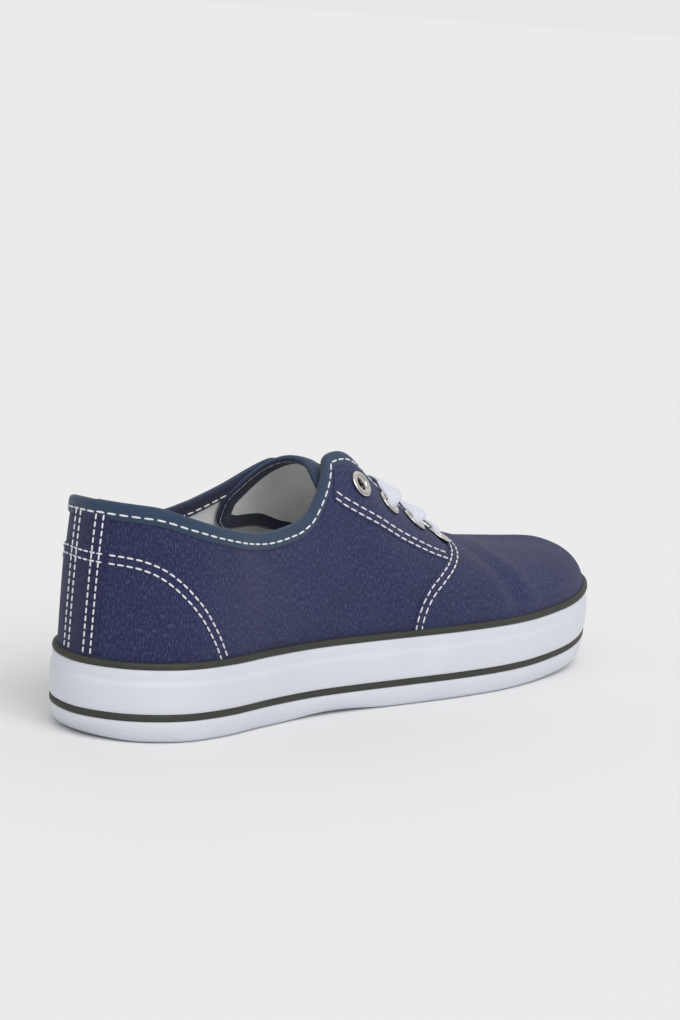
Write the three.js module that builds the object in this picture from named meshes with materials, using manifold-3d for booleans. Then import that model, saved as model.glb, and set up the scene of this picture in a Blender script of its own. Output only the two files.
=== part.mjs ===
// A low lace-up canvas sneaker for the left foot, about EU 42, standing empty on its sole.
// Millimetres, +Z up, +Y towards the toe, +X towards the inner (medial) side of the foot.
// While it is built, y is the distance from the back of the heel and x the distance from the
// heel's centre line. The finished group is moved so that the origin is under the middle of the box.
import * as THREE from 'three';
import { mergeVertices } from 'three/addons/utils/BufferGeometryUtils.js';
import Module from 'manifold-3d';

const wasm = await Module();
wasm.setup();

// ---------------------------------------------------------------- driving dimensions
const GAP = 0.3; // free space between pieces that meet

const SOLE = {
  length: 292,
  outsoleTop: 8.4, // height of the seam between outsole and lower stripe
  stripeHeight: 2.7,
  foxingTop: 27, // top of the white foxing band
  pipingTop: 30, // top of the dark piping over it
  stripeDepth: 2.2, // how far the lower stripe reaches in
  foxingWall: 2.2,
  floor: 15, // inside floor of the sole's cup
  toeSpring: 6.5, // lift of the toe's tip
  springStart: 205,
  waist: [78, 140], // from the breast of the heel to the ball
  waistLift: 1.3,
  heelBevel: 2.2, // lift of the outsole's back edge
  heelBevelLength: 14,
};

const UPPER = {
  wall: 2.0, // canvas and lining together
  bottom: SOLE.floor + GAP,
  shoulder: 27, // height where the side wall starts to lean in
  swell: 0.03, // roundness of the wall, as a share of its reach
  rows: 10, // facets from the foxing to the top edge
};

const THROAT = { top: 127, base: 190, endLength: 9, cornerSoftness: 0.035 };

const TONGUE = { thickness: 2.4, clearance: 0.8, base: 193 };

const EYELET = {
  // From the heel, and from the throat's edge along the canvas.
  places: [
    { y: 129, fromEdge: 13.8 },
    { y: 147.5, fromEdge: 12.2 },
    { y: 164, fromEdge: 11.8 },
    { y: 180.5, fromEdge: 11.8 },
  ],
  flange: 5.3,
  bore: 2.3,
  barrel: 2.8,
  flangeThickness: 0.8,
  flangeSlope: 0.9, // how far the flange's top lies in from its edge
  lip: 0.5, // roll of the metal inside the flange
  seat: 0.5, // flange over the canvas
  tail: 0.5, // barrel past the inside of the canvas
  sides: 16,
};

const LACE = {
  width: 8,
  thickness: 1.1,
  steps: 14,
  overEyelet: 2, // height of its underside over the canvas
  overEdge: 0.7,
  overTongue: 0.5,
  edgeShare: 0.45, // share of a crossing lace that lies over the upper edge
  sink: [0.42, 0.97], // shares of it between which it goes down to the tongue
  barRise: [0.15, 0.32], // shares of the bar from each end where it comes down off the eyelet
  pastEdge: 0.13, // angle from the far edge to the hidden end
  endBack: 3, // the hidden end is this far behind its eyelet
};

const INSOLE = { thickness: 4, rim: 1.2, rimDrop: 0.6, dish: 8, dishDrop: 0.8 };

const TREAD = { grooveWidth: 2.6, grooveDepth: 1.4, pitch: 8, border: 9, first: 20, fromToe: 16, shortest: 4 };

// Plan of the foxing's outer face: distance from the heel, reach to the inner and outer side.
const SOLE_PLAN = [
  { y: 0, medial: 0, lateral: 0 },
  { y: 4, medial: 14.4, lateral: 14.4 },
  { y: 12, medial: 24.2, lateral: 24.4 },
  { y: 26, medial: 32.2, lateral: 32.8 },
  { y: 46, medial: 35, lateral: 35.8 },
  { y: 70, medial: 33.9, lateral: 36.4 },
  { y: 95, medial: 34.4, lateral: 37.6 },
  { y: 120, medial: 38, lateral: 40 },
  { y: 145, medial: 42.6, lateral: 44 },
  { y: 170, medial: 47, lateral: 48 },
  { y: 195, medial: 49.6, lateral: 50.6 },
  { y: 212, medial: 49.4, lateral: 50.4 },
  { y: 230, medial: 47.8, lateral: 47.8 },
  { y: 248, medial: 45, lateral: 43 },
  { y: 262, medial: 40.6, lateral: 36.8 },
  { y: 274, medial: 34.4, lateral: 28.6 },
  { y: 283, medial: 26.8, lateral: 19.4 },
  { y: 289, medial: 18, lateral: 9.4 },
  { y: 292, medial: 4.4, lateral: -4.4 },
];

// The last's crown line. Behind the throat it runs above the open collar, where it only sets the lean.
// Full is how upright the wall stands below it: 1 is an ellipse, less is fuller.
const CROWN = [
  { y: 0, back: 30, x: -1, z: 116, full: 0.36 },
  { y: 12, back: 30, x: -1, z: 114, full: 0.36 },
  { y: 26, back: 36, x: -1.2, z: 109, full: 0.4 },
  { y: 50, back: 52, x: -1.6, z: 103, full: 0.62 },
  { y: 75, back: 75, x: -2.2, z: 99.5, full: 0.85 },
  { y: 100, back: 100, x: -3, z: 98, full: 0.92 },
  { y: 114, back: 114, x: -3.2, z: 96.5, full: 0.94 },
  { y: 127, back: 127, x: -3.2, z: 93.8, full: 0.95 },
  { y: 147, back: 147, x: -2.8, z: 82, full: 0.95 },
  { y: 164, back: 164, x: -2.2, z: 72.2, full: 0.95 },
  { y: 182, back: 182, x: -1.2, z: 63.4, full: 0.95 },
  { y: 200, back: 200, x: 0, z: 58, full: 0.92 },
  { y: 220, back: 219, x: 2, z: 53, full: 0.88 },
  { y: 240, back: 236, x: 3.6, z: 49.5, full: 0.84 },
  { y: 260, back: 250, x: 4.6, z: 46.5, full: 0.8 },
  { y: 278, back: 259, x: 4.8, z: 44, full: 0.76 },
  { y: 289, back: 263, x: 4.8, z: 43, full: 0.75 },
];

// Height of the collar's top edge on each side.
const COLLAR = [
  { y: 0, medial: 85.6, lateral: 85.6 },
  { y: 12, medial: 84.7, lateral: 83.2 },
  { y: 25, medial: 80.9, lateral: 79.6 },
  { y: 40, medial: 76.7, lateral: 74.6 },
  { y: 58, medial: 73, lateral: 71.2 },
  { y: 70, medial: 71.9, lateral: 70.9 },
  { y: 86, medial: 73.4, lateral: 73.4 },
  { y: 96, medial: 76.8, lateral: 76.2 },
  { y: 105, medial: 82.2, lateral: 79 },
  { y: 114, medial: 89, lateral: 83.2 },
  { y: 125, medial: 100, lateral: 90.4 },
  { y: 140, medial: 118, lateral: 108 },
];

// Half of the gap between the two eyelet edges, from the crown line, and how far each edge
// springs up from the last: the top eyelets are not laced.
const THROAT_GAP = [
  { y: 96, half: 15.5, medial: 0, lateral: 0 },
  { y: 114, half: 15, medial: 4.6, lateral: 0.4 },
  { y: 127, half: 14.2, medial: 6.6, lateral: 0.6 },
  { y: 147, half: 13, medial: 4.2, lateral: 0.8 },
  { y: 165, half: 12.2, medial: 2.4, lateral: 0.9 },
  { y: 180, half: 11.5, medial: 1, lateral: 0.8 },
  { y: 188, half: 11, medial: 0, lateral: 0 },
];
const FLAP = 0.62; // the part of the wall, as an angle below the throat's edge, that springs up

// Reach of the tongue from the crown line to each side, measured round its curve.
const TONGUE_WIDTH = [
  { y: 105, medial: 39, lateral: 50 },
  { y: 125, medial: 37, lateral: 48 },
  { y: 150, medial: 33, lateral: 42 },
  { y: 190, medial: 20, lateral: 24 },
];

// The tongue's tip, from its lateral edge (-1) to its medial one (1): it lies twisted to the outside.
const TONGUE_TIP = [
  { across: -1, y: 113 },
  { across: -0.97, y: 107.5 },
  { across: -0.9, y: 104 },
  { across: -0.76, y: 104.4 },
  { across: -0.56, y: 110.4 },
  { across: -0.37, y: 115 },
  { across: -0.2, y: 117.8 },
  { across: 0, y: 118.8 },
  { across: 0.2, y: 117.6 },
  { across: 0.36, y: 114.6 },
  { across: 0.5, y: 112.4 },
  { across: 0.7, y: 111 },
  { across: 0.9, y: 111.6 },
  { across: 0.97, y: 114.6 },
  { across: 1, y: 120 },
];

// ---------------------------------------------------------------- small tools

// Value of a column at y, on a smooth curve that never overshoots its rows.
function column(table, name, y, key = 'y') {
  const last = table.length - 1;
  if (y <= table[0][key]) return table[0][name];
  if (y >= table[last][key]) return table[last][name];
  let i = 0;
  while (y > table[i + 1][key]) i++;
  const slope = (k) => (table[k + 1][name] - table[k][name]) / (table[k + 1][key] - table[k][key]);
  const tangent = (k) => {
    if (k === 0) return slope(0);
    if (k === last) return slope(last - 1);
    const [a, b] = [slope(k - 1), slope(k)];
    return a * b <= 0 ? 0 : (2 * a * b) / (a + b);
  };
  const span = table[i + 1][key] - table[i][key];
  const t = (y - table[i][key]) / span;
  return (
    (1 + 2 * t) * (1 - t) ** 2 * table[i][name] +
    t * (1 - t) ** 2 * span * tangent(i) +
    t * t * (3 - 2 * t) * table[i + 1][name] +
    t * t * (t - 1) * span * tangent(i + 1)
  );
}

const toeLift = (y) => {
  const t = Math.max(0, (y - SOLE.springStart) / (SOLE.length - SOLE.springStart));
  return SOLE.toeSpring * t * t;
};

// A closed triangle list as a BufferGeometry. Faces are groups of three or four points.
function geometryOf(faces) {
  const positions = [];
  for (const f of faces) {
    const triangles = f.length === 4 ? [[f[0], f[1], f[2]], [f[0], f[2], f[3]]] : [f];
    for (const corners of triangles) for (const p of corners) positions.push(p.x, p.y, p.z);
  }
  return new THREE.BufferGeometry().setAttribute('position', new THREE.Float32BufferAttribute(positions, 3));
}

function solidOf(geometry) {
  const bare = geometry.index ? geometry.toNonIndexed() : geometry.clone();
  for (const name of Object.keys(bare.attributes)) if (name !== 'position') bare.deleteAttribute(name);
  const merged = mergeVertices(bare, 1e-4);
  return new wasm.Manifold(
    new wasm.Mesh({
      numProp: 3,
      vertProperties: merged.attributes.position.array,
      triVerts: new Uint32Array(merged.index.array),
    }),
  );
}

function geometryFrom(solid) {
  const mesh = solid.getMesh();
  const positions = new Float32Array(mesh.numVert * 3);
  for (let i = 0; i < mesh.numVert; i++)
    positions.set(mesh.vertProperties.subarray(i * mesh.numProp, i * mesh.numProp + 3), i * 3);
  return new THREE.BufferGeometry()
    .setAttribute('position', new THREE.BufferAttribute(positions, 3))
    .setIndex(new THREE.BufferAttribute(new Uint32Array(mesh.triVerts), 1));
}

// ---------------------------------------------------------------- the last

// The outline is one closed curve: up the medial side to the toe and back down the lateral side.
const LAST_ROW = SOLE_PLAN.length - 1;
const outlineCurve = new THREE.CatmullRomCurve3(
  [
    ...SOLE_PLAN.map((r) => new THREE.Vector3(r.medial, r.y, 0)),
    ...SOLE_PLAN.slice(1, -1).reverse().map((r) => new THREE.Vector3(-r.lateral, r.y, 0)),
  ],
  true,
  'centripetal',
);

// Point of the outline at a station, moved in by inset. Side is +1 medial, -1 lateral.
function outlinePoint(station, side, inset) {
  const share = station / (2 * LAST_ROW);
  const t = side > 0 ? share : 1 - share;
  const p = outlineCurve.getPoint((t + 1) % 1);
  const step = 1e-4;
  const ahead = outlineCurve.getPoint((t + step + 1) % 1);
  const behind = outlineCurve.getPoint((t - step + 1) % 1);
  const tangent = ahead.sub(behind).normalize();
  return new THREE.Vector3(p.x - tangent.y * inset, p.y + tangent.x * inset, 0);
}

// Stations are row numbers of SOLE_PLAN, with fractions between. Station of a given y on the medial side.
function stationAt(y) {
  let [low, high] = [0, LAST_ROW];
  for (let i = 0; i < 40; i++) {
    const middle = (low + high) / 2;
    if (outlinePoint(middle, 1, 0).y < y) low = middle;
    else high = middle;
  }
  return (low + high) / 2;
}

const upperInset = SOLE.foxingWall + GAP;

// Everything that a section of the last needs, on one side.
function section(station, side) {
  const base = outlinePoint(station, side, upperInset);
  const lift = toeLift(base.y);
  const crown = new THREE.Vector3(
    column(CROWN, 'x', base.y),
    column(CROWN, 'back', base.y),
    column(CROWN, 'z', base.y) + lift,
  );
  return { base, crown, shoulder: UPPER.shoulder + lift, full: column(CROWN, 'full', base.y), y: base.y };
}

const QUARTER = Math.PI / 2;

// Point of the last at an angle: 0 at the shoulder over the foxing, a quarter turn at the crown.
function lastPoint(station, side, angle) {
  const s = section(station, side);
  const out = Math.max(0, Math.cos(angle)) ** s.full + UPPER.swell * Math.sin(2 * angle) ** 2;
  return new THREE.Vector3(
    s.crown.x + (s.base.x - s.crown.x) * out,
    s.crown.y + (s.base.y - s.crown.y) * out,
    s.shoulder + (s.crown.z - s.shoulder) * Math.sin(angle),
  );
}

// The last across one station: turn runs from 0 at the medial shoulder to PI at the lateral one.
function acrossPoint(station, turn) {
  return turn <= QUARTER ? lastPoint(station, 1, turn) : lastPoint(station, -1, Math.PI - turn);
}

// A point of a surface, moved by an offset along the outward normal.
function offsetPoint(surface, station, turn, offset) {
  const step = 0.01;
  const along = surface(station + step, turn).sub(surface(station - step, turn));
  const round = surface(station, Math.min(Math.PI, turn + step)).sub(surface(station, Math.max(0, turn - step)));
  const normal = along.cross(round).normalize();
  const p = surface(station, turn);
  if (normal.dot(new THREE.Vector3(p.x, 0, p.z - UPPER.shoulder)) < 0) normal.negate();
  return { point: p.addScaledVector(normal, offset), normal };
}

// Angle where the canvas ends at a station: the collar, the throat, or a quarter turn where the vamp is closed.
function edgeAngle(station, side) {
  const s = section(station, side);
  if (s.y >= THROAT.base) return QUARTER;
  const height = column(COLLAR, side > 0 ? 'medial' : 'lateral', s.y);
  const collar = Math.asin(Math.min(1, (height - s.shoulder) / (s.crown.z - s.shoulder)));
  if (s.y < THROAT.top - 35) return collar;
  let half = column(THROAT_GAP, 'half', s.y);
  const fromEnd = (s.y - (THROAT.base - THROAT.endLength)) / THROAT.endLength;
  if (fromEnd > 0) half *= Math.sqrt(Math.max(0, 1 - fromEnd * fromEnd));
  const throat = Math.acos(Math.min(1, half / Math.abs(s.base.x - s.crown.x)));
  if (s.y > THROAT.top + 12) return throat;
  const soft = THROAT.cornerSoftness; // rounds the corner where the two edges meet
  return (collar + throat - Math.sqrt((collar - throat) ** 2 + soft * soft)) / 2;
}

// The canvas follows the last except near the throat, where the flaps rise off it.
function upperPoint(station, side, angle) {
  const s = section(station, side);
  const lift = column(THROAT_GAP, side > 0 ? 'medial' : 'lateral', s.y);
  const share = THREE.MathUtils.clamp((angle - edgeAngle(station, side) + FLAP) / FLAP, 0, 1);
  const p = lastPoint(station, side, angle);
  p.z += lift * share ** 1.7;
  return p;
}

// Between the two edges this is the straight bridge that a tight lace follows.
function bridgePoint(station, turn) {
  const medial = edgeAngle(station, 1);
  const lateral = Math.PI - edgeAngle(station, -1);
  if (turn <= medial) return upperPoint(station, 1, turn);
  if (turn >= lateral) return upperPoint(station, -1, Math.PI - turn);
  const y = section(station, 1).y;
  const across = (turn - medial) / (lateral - medial);
  const p = acrossPoint(station, turn);
  p.z += THREE.MathUtils.lerp(column(THROAT_GAP, 'medial', y), column(THROAT_GAP, 'lateral', y), across);
  return p;
}

// ---------------------------------------------------------------- upper

// Stations of the upper's columns, closer together at the corner and the end of the throat.
function upperStations() {
  const list = [];
  for (let row = 0; row < LAST_ROW; row++) list.push(row, row + 0.5);
  list.push(LAST_ROW);
  for (const y of [112, 123, 127, 131, 181, 184.5, 187, 189, 190.2]) list.push(stationAt(y));
  list.sort((a, b) => a - b);
  return list.filter((s, i) => i === 0 || s - list[i - 1] > 0.045);
}

function upperColumn(station, side) {
  const top = edgeAngle(station, side);
  const points = [];
  const base = section(station, side);
  points.push(new THREE.Vector3(base.base.x, base.base.y, UPPER.bottom + toeLift(base.y)));
  for (let row = 0; row <= UPPER.rows; row++) points.push(upperPoint(station, side, (top * row) / UPPER.rows));
  return points;
}

// A wall made from columns of outer points, moved in along the vertex normals.
function shellGeometry(columns, wall) {
  const keyOf = (p) => `${p.x.toFixed(3)},${p.y.toFixed(3)},${p.z.toFixed(3)}`;
  const normals = new Map();
  const outer = [];
  const count = columns.length;
  for (let c = 0; c < count; c++) {
    const [here, next] = [columns[c], columns[(c + 1) % count]];
    for (let r = 0; r < here.length - 1; r++) outer.push([here[r], next[r], next[r + 1], here[r + 1]]);
  }
  for (const f of outer) {
    const normal = f[2].clone().sub(f[0]).cross(f[3].clone().sub(f[1]));
    for (const p of f) {
      if (!normals.has(keyOf(p))) normals.set(keyOf(p), new THREE.Vector3());
      normals.get(keyOf(p)).add(normal);
    }
  }
  const inward = (p) => p.clone().addScaledVector(normals.get(keyOf(p)).clone().normalize(), -wall);
  const faces = [];
  for (const f of outer) {
    faces.push(f, f.map(inward).reverse());
  }
  for (let c = 0; c < count; c++) {
    const [here, next] = [columns[c], columns[(c + 1) % count]];
    const top = here.length - 1;
    faces.push([next[0], here[0], inward(here[0]), inward(next[0])]);
    if (keyOf(here[top]) !== keyOf(next[top]) && !(here.closed && next.closed))
      faces.push([here[top], next[top], inward(next[top]), inward(here[top])]);
  }
  return geometryOf(faces.filter((f) => new Set(f.map(keyOf)).size > 2));
}

function upperGeometry() {
  const stations = upperStations();
  const columns = [];
  const add = (station, side) => {
    const points = upperColumn(station, side);
    points.closed = edgeAngle(station, side) >= QUARTER - 1e-6;
    columns.push(points);
  };
  for (const s of stations) add(s, 1);
  for (const s of stations.slice(1, -1).reverse()) add(s, -1);
  // Both sides of a closed station end on the same crown point.
  const last = stations.length - 1;
  for (let i = 1; i < last; i++) {
    const [medial, lateral] = [columns[i], columns[2 * last - i]];
    if (!medial.closed || !lateral.closed) {
      medial.closed = lateral.closed = false;
      continue;
    }
    const shared = medial.at(-1).clone().add(lateral.at(-1)).multiplyScalar(0.5);
    medial[medial.length - 1] = shared;
    lateral[lateral.length - 1] = shared;
  }
  return shellGeometry(columns, UPPER.wall);
}

// ---------------------------------------------------------------- sole

function soleStations() {
  const list = [];
  for (let row = 0; row < LAST_ROW; row++) list.push(row, row + 0.5);
  list.push(LAST_ROW);
  return list;
}

// One loop round the outline at an inset, with its height given by a function of y.
function loop(inset, height) {
  const stations = soleStations();
  const round = [...stations.map((s) => [s, 1]), ...stations.slice(1, -1).reverse().map((s) => [s, -1])];
  return round.map(([station, side]) => {
    const share = typeof inset === 'function' ? inset(outlinePoint(station, side, 0).y) : inset;
    const p = outlinePoint(station, side, share);
    return p.setZ(height(p.y));
  });
}

const level = (z) => (y) => z + toeLift(y);

function wallFaces(lower, upper) {
  return lower.map((p, i) => {
    const j = (i + 1) % lower.length;
    return [p, lower[j], upper[j], upper[i]];
  });
}

// Fills a loop with rungs from the medial to the lateral side.
function capFaces(points, facesUp) {
  const last = points.length / 2;
  const faces = [];
  const other = (i) => points[(2 * last - i) % (2 * last)];
  for (let i = 0; i < last; i++) {
    const rung = [points[i], points[i + 1], other(i + 1), other(i)];
    const distinct = rung.filter((p, k) => rung.indexOf(p) === k);
    faces.push(facesUp ? distinct : distinct.reverse());
  }
  return faces;
}

// A plate built from loops, from its underside out and up to its top.
function plateGeometry(loops) {
  const faces = [...capFaces(loops[0], false), ...capFaces(loops.at(-1), true)];
  for (let i = 0; i < loops.length - 1; i++) faces.push(...wallFaces(loops[i], loops[i + 1]));
  return geometryOf(faces);
}

// A ring round the outline with a closed section of loops.
function ringGeometry(loops) {
  const faces = [];
  loops.forEach((l, i) => faces.push(...wallFaces(l, loops[(i + 1) % loops.length])));
  return geometryOf(faces);
}

// Outer faces of the sole's pieces: how far in they lie at each height.
const OUTSOLE_SIDE = { tuckShare: 0.45, tuckHeight: 1.6, middle: { inset: 0.7, z: 5.2 }, topInset: 0.3 };
const STRIPE_SIDE = { bottom: 0.2, top: 0.1 };
const FOXING_SIDE = { bottom: 0.1, belly: { inset: 0, z: 19 }, neck: { inset: 0.35, z: 24 }, top: 0.7 };
const PIPING_SIDE = { inset: 0.3, chamfer: 1, topInset: 1.1, wall: SOLE.foxingWall - 0.1 };

// The ground edge of the outsole is cut back, most of all behind the heel.
const GROUND = { inset: 3.6, heelInset: 2.4, heelLength: 30 };
const groundInset = (y) => GROUND.inset + GROUND.heelInset * Math.max(0, 1 - y / GROUND.heelLength);
const groundHeight = (y) => {
  const heel = Math.max(0, 1 - y / SOLE.heelBevelLength);
  const waist = THREE.MathUtils.clamp((y - SOLE.waist[0]) / (SOLE.waist[1] - SOLE.waist[0]), 0, 1);
  return toeLift(y) + SOLE.heelBevel * heel * heel + SOLE.waistLift * Math.sin(Math.PI * waist) ** 2;
};

function grooveSolid(y, halfMedial, halfLateral, width) {
  const box = new THREE.BoxGeometry(halfMedial + halfLateral, width, 2 * TREAD.grooveDepth);
  box.translate((halfMedial - halfLateral) / 2, y, groundHeight(y));
  return solidOf(box);
}

function outsoleGeometry() {
  const body = solidOf(
    plateGeometry([
      loop(groundInset, groundHeight),
      loop(
        (y) => groundInset(y) * OUTSOLE_SIDE.tuckShare,
        (y) => groundHeight(y) + OUTSOLE_SIDE.tuckHeight,
      ),
      loop(OUTSOLE_SIDE.middle.inset, level(OUTSOLE_SIDE.middle.z)),
      loop(OUTSOLE_SIDE.topInset, level(SOLE.outsoleTop)),
      loop(SOLE.stripeDepth + GAP, level(SOLE.outsoleTop)),
      loop(SOLE.stripeDepth + GAP, level(SOLE.outsoleTop + SOLE.stripeHeight + GAP)),
    ]),
  );
  let cut = body;
  for (let y = TREAD.first; y < SOLE.length - TREAD.fromToe; y += TREAD.pitch) {
    if (y > SOLE.waist[0] && y < SOLE.waist[1]) continue; // the waist has no lugs
    const station = stationAt(y);
    const reach = (side) => Math.abs(outlinePoint(station, side, 0).x) - TREAD.border;
    if (Math.min(reach(1), reach(-1)) < TREAD.shortest) continue;
    cut = cut.subtract(grooveSolid(y, reach(1), reach(-1), TREAD.grooveWidth));
  }
  return geometryFrom(cut);
}

function stripeGeometry() {
  const bottom = SOLE.outsoleTop + GAP;
  const top = bottom + SOLE.stripeHeight - GAP;
  return ringGeometry([
    loop(SOLE.stripeDepth, level(bottom)),
    loop(STRIPE_SIDE.bottom, level(bottom)),
    loop(STRIPE_SIDE.top, level(top)),
    loop(SOLE.stripeDepth, level(top)),
  ]);
}

function foxingGeometry() {
  const bottom = SOLE.outsoleTop + SOLE.stripeHeight + 2 * GAP;
  return plateGeometry([
    loop(FOXING_SIDE.bottom, level(bottom)),
    loop(FOXING_SIDE.belly.inset, level(FOXING_SIDE.belly.z)),
    loop(FOXING_SIDE.neck.inset, level(FOXING_SIDE.neck.z)),
    loop(FOXING_SIDE.top, level(SOLE.foxingTop)),
    loop(SOLE.foxingWall, level(SOLE.foxingTop)),
    loop(SOLE.foxingWall, level(SOLE.floor)),
  ]);
}

function pipingGeometry() {
  const bottom = SOLE.foxingTop + GAP;
  return ringGeometry([
    loop(PIPING_SIDE.wall, level(bottom)),
    loop(PIPING_SIDE.inset, level(bottom)),
    loop(PIPING_SIDE.inset, level(SOLE.pipingTop - PIPING_SIDE.chamfer)),
    loop(PIPING_SIDE.topInset, level(SOLE.pipingTop)),
    loop(PIPING_SIDE.wall, level(SOLE.pipingTop)),
  ]);
}

function insoleGeometry() {
  const edge = upperInset + UPPER.wall + 2 * GAP;
  const bottom = SOLE.floor + GAP;
  const top = bottom + INSOLE.thickness;
  return plateGeometry([
    loop(edge, level(bottom)),
    loop(edge, level(top - INSOLE.rimDrop)),
    loop(edge + INSOLE.rim, level(top)),
    loop(edge + INSOLE.dish, level(top - INSOLE.dishDrop)),
  ]);
}

// ---------------------------------------------------------------- tongue

// Turn that lies a given way round the section from the crown, on one side.
function turnAt(station, side, arc) {
  let travelled = 0;
  let turn = QUARTER;
  let before = acrossPoint(station, turn);
  const step = 0.02;
  while (travelled < arc && turn > 0.02 && turn < Math.PI - 0.02) {
    turn -= side * step;
    const p = acrossPoint(station, turn);
    travelled += p.distanceTo(before);
    before = p;
  }
  return turn;
}

// Across runs from -1 to 1 as in TONGUE_TIP, forward from 0 at the tip to 1 at the base.
function tonguePoint(across, forward, offset) {
  const tip = column(TONGUE_TIP, 'y', across, 'across');
  const y = tip + (TONGUE.base - tip) * forward;
  const station = stationAt(y);
  const side = across > 0 ? 1 : -1;
  const reach = column(TONGUE_WIDTH, side > 0 ? 'medial' : 'lateral', y) * Math.abs(across);
  return offsetPoint(acrossPoint, station, turnAt(station, side, reach), offset).point;
}

function tongueGeometry() {
  const top = -(UPPER.wall + TONGUE.clearance);
  const columns = [1, 0.96, 0.88, 0.7, 0.5, 0.28, 0.06, -0.18, -0.4, -0.6, -0.78, -0.9, -0.97, -1];
  const forwards = [0, 0.05, 0.13, 0.23, 0.34, 0.46, 0.58, 0.7, 0.8, 0.9, 1];
  const across = columns.length - 1;
  const rows = forwards.map((forward) => ({
    upper: columns.map((share) => tonguePoint(share, forward, top)),
    lower: columns.map((share) => tonguePoint(share, forward, top - TONGUE.thickness)),
  }));
  const faces = [];
  for (let r = 0; r < rows.length - 1; r++) {
    const [a, b] = [rows[r], rows[r + 1]];
    for (let i = 0; i < across; i++) {
      faces.push([a.upper[i], b.upper[i], b.upper[i + 1], a.upper[i + 1]]);
      faces.push([a.lower[i], a.lower[i + 1], b.lower[i + 1], b.lower[i]]);
    }
    faces.push([a.upper[0], a.lower[0], b.lower[0], b.upper[0]]);
    faces.push([a.upper[across], b.upper[across], b.lower[across], a.lower[across]]);
  }
  const [first, last] = [rows[0], rows.at(-1)];
  for (let i = 0; i < across; i++) {
    faces.push([first.upper[i], first.upper[i + 1], first.lower[i + 1], first.lower[i]]);
    faces.push([last.upper[i], last.lower[i], last.lower[i + 1], last.upper[i + 1]]);
  }
  return geometryOf(faces);
}

// ---------------------------------------------------------------- eyelets and laces

// Turn and place of an eyelet.
function eyeletPlace({ y, fromEdge }, side) {
  const station = stationAt(y);
  const edge = edgeAngle(station, side);
  let travelled = 0;
  let angle = edge;
  let before = upperPoint(station, side, angle);
  while (travelled < fromEdge) {
    angle -= 0.005;
    const p = upperPoint(station, side, angle);
    travelled += p.distanceTo(before);
    before = p;
  }
  const turn = side > 0 ? angle : Math.PI - angle;
  return { station, turn, ...offsetPoint(bridgePoint, station, turn, 0) };
}

function eyeletMesh(name, place, material) {
  const top = EYELET.seat + EYELET.flangeThickness;
  const foot = -(UPPER.wall + EYELET.tail);
  const profile = [
    [EYELET.bore, foot],
    [EYELET.barrel, foot],
    [EYELET.barrel, EYELET.seat],
    [EYELET.flange, EYELET.seat],
    [EYELET.flange - EYELET.flangeSlope, top],
    [EYELET.bore + EYELET.lip, top],
    [EYELET.bore, foot],
  ].map(([r, z]) => new THREE.Vector2(r, z));
  const mesh = new THREE.Mesh(new THREE.LatheGeometry(profile, EYELET.sides), material);
  mesh.name = name;
  mesh.quaternion.setFromUnitVectors(new THREE.Vector3(0, 1, 0), place.normal);
  mesh.position.copy(place.point);
  return mesh;
}

function eyeletHole(place) {
  const hole = new THREE.CylinderGeometry(EYELET.barrel + GAP, EYELET.barrel + GAP, 14, EYELET.sides);
  hole.applyQuaternion(new THREE.Quaternion().setFromUnitVectors(new THREE.Vector3(0, 1, 0), place.normal));
  hole.translate(place.point.x, place.point.y, place.point.z);
  return solidOf(hole);
}

// A flat ribbon from one place to another. Its path gives how far its underside is over the canvas,
// and how far it has sunk from there onto the tongue.
function ribbonGeometry(from, to, path) {
  const rows = [];
  for (let i = 0; i <= LACE.steps; i++) {
    const t = i / LACE.steps;
    const station = from.station + (to.station - from.station) * t;
    const turn = from.turn + (to.turn - from.turn) * t;
    const { over, sunk } = path(t);
    const row = offsetPoint(bridgePoint, station, turn, over);
    row.point.lerp(offsetPoint(acrossPoint, station, turn, ON_TONGUE).point, sunk);
    rows.push(row);
  }
  const faces = [];
  const rings = rows.map((row, i) => {
    const ahead = rows[Math.min(i + 1, LACE.steps)].point.clone().sub(rows[Math.max(i - 1, 0)].point);
    const across = row.normal.clone().cross(ahead).normalize();
    const normal = ahead.cross(across).normalize();
    const corner = (side, height) =>
      row.point.clone().addScaledVector(across, (side * LACE.width) / 2).addScaledVector(normal, height);
    return [corner(-1, 0), corner(1, 0), corner(1, LACE.thickness), corner(-1, LACE.thickness)];
  });
  for (let i = 0; i < LACE.steps; i++)
    for (let k = 0; k < 4; k++) {
      const j = (k + 1) % 4;
      faces.push([rings[i][k], rings[i][j], rings[i + 1][j], rings[i + 1][k]]);
    }
  faces.push([...rings[0]].reverse(), rings[LACE.steps]);
  let geometry = geometryOf(faces);
  if (solidOf(geometry).volume() < 0) geometry = geometryOf(faces.map((f) => [...f].reverse()));
  return geometry;
}

const ON_TONGUE = -(UPPER.wall + TONGUE.clearance) + LACE.overTongue;

// Under the far edge a lace ends this far inside the throat.
function throatPlace(y, side) {
  const station = stationAt(y);
  const angle = edgeAngle(station, side) + LACE.pastEdge;
  return { station, turn: side > 0 ? angle : Math.PI - angle };
}

// A lace that lies over one edge, into the upper eyelet, and dips under the opposite edge.
function crossingSolid(above, below, side) {
  const from = eyeletPlace(above, side);
  const to = throatPlace(below.y - LACE.endBack, -side);
  const path = (t) => ({
    over: THREE.MathUtils.lerp(LACE.overEyelet, LACE.overEdge, Math.min(1, t / LACE.edgeShare)),
    sunk: THREE.MathUtils.smoothstep(t, ...LACE.sink),
  });
  return solidOf(ribbonGeometry(from, to, path));
}

function crossGeometry(above, below) {
  return geometryFrom(crossingSolid(above, below, 1).add(crossingSolid(above, below, -1)));
}

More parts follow.
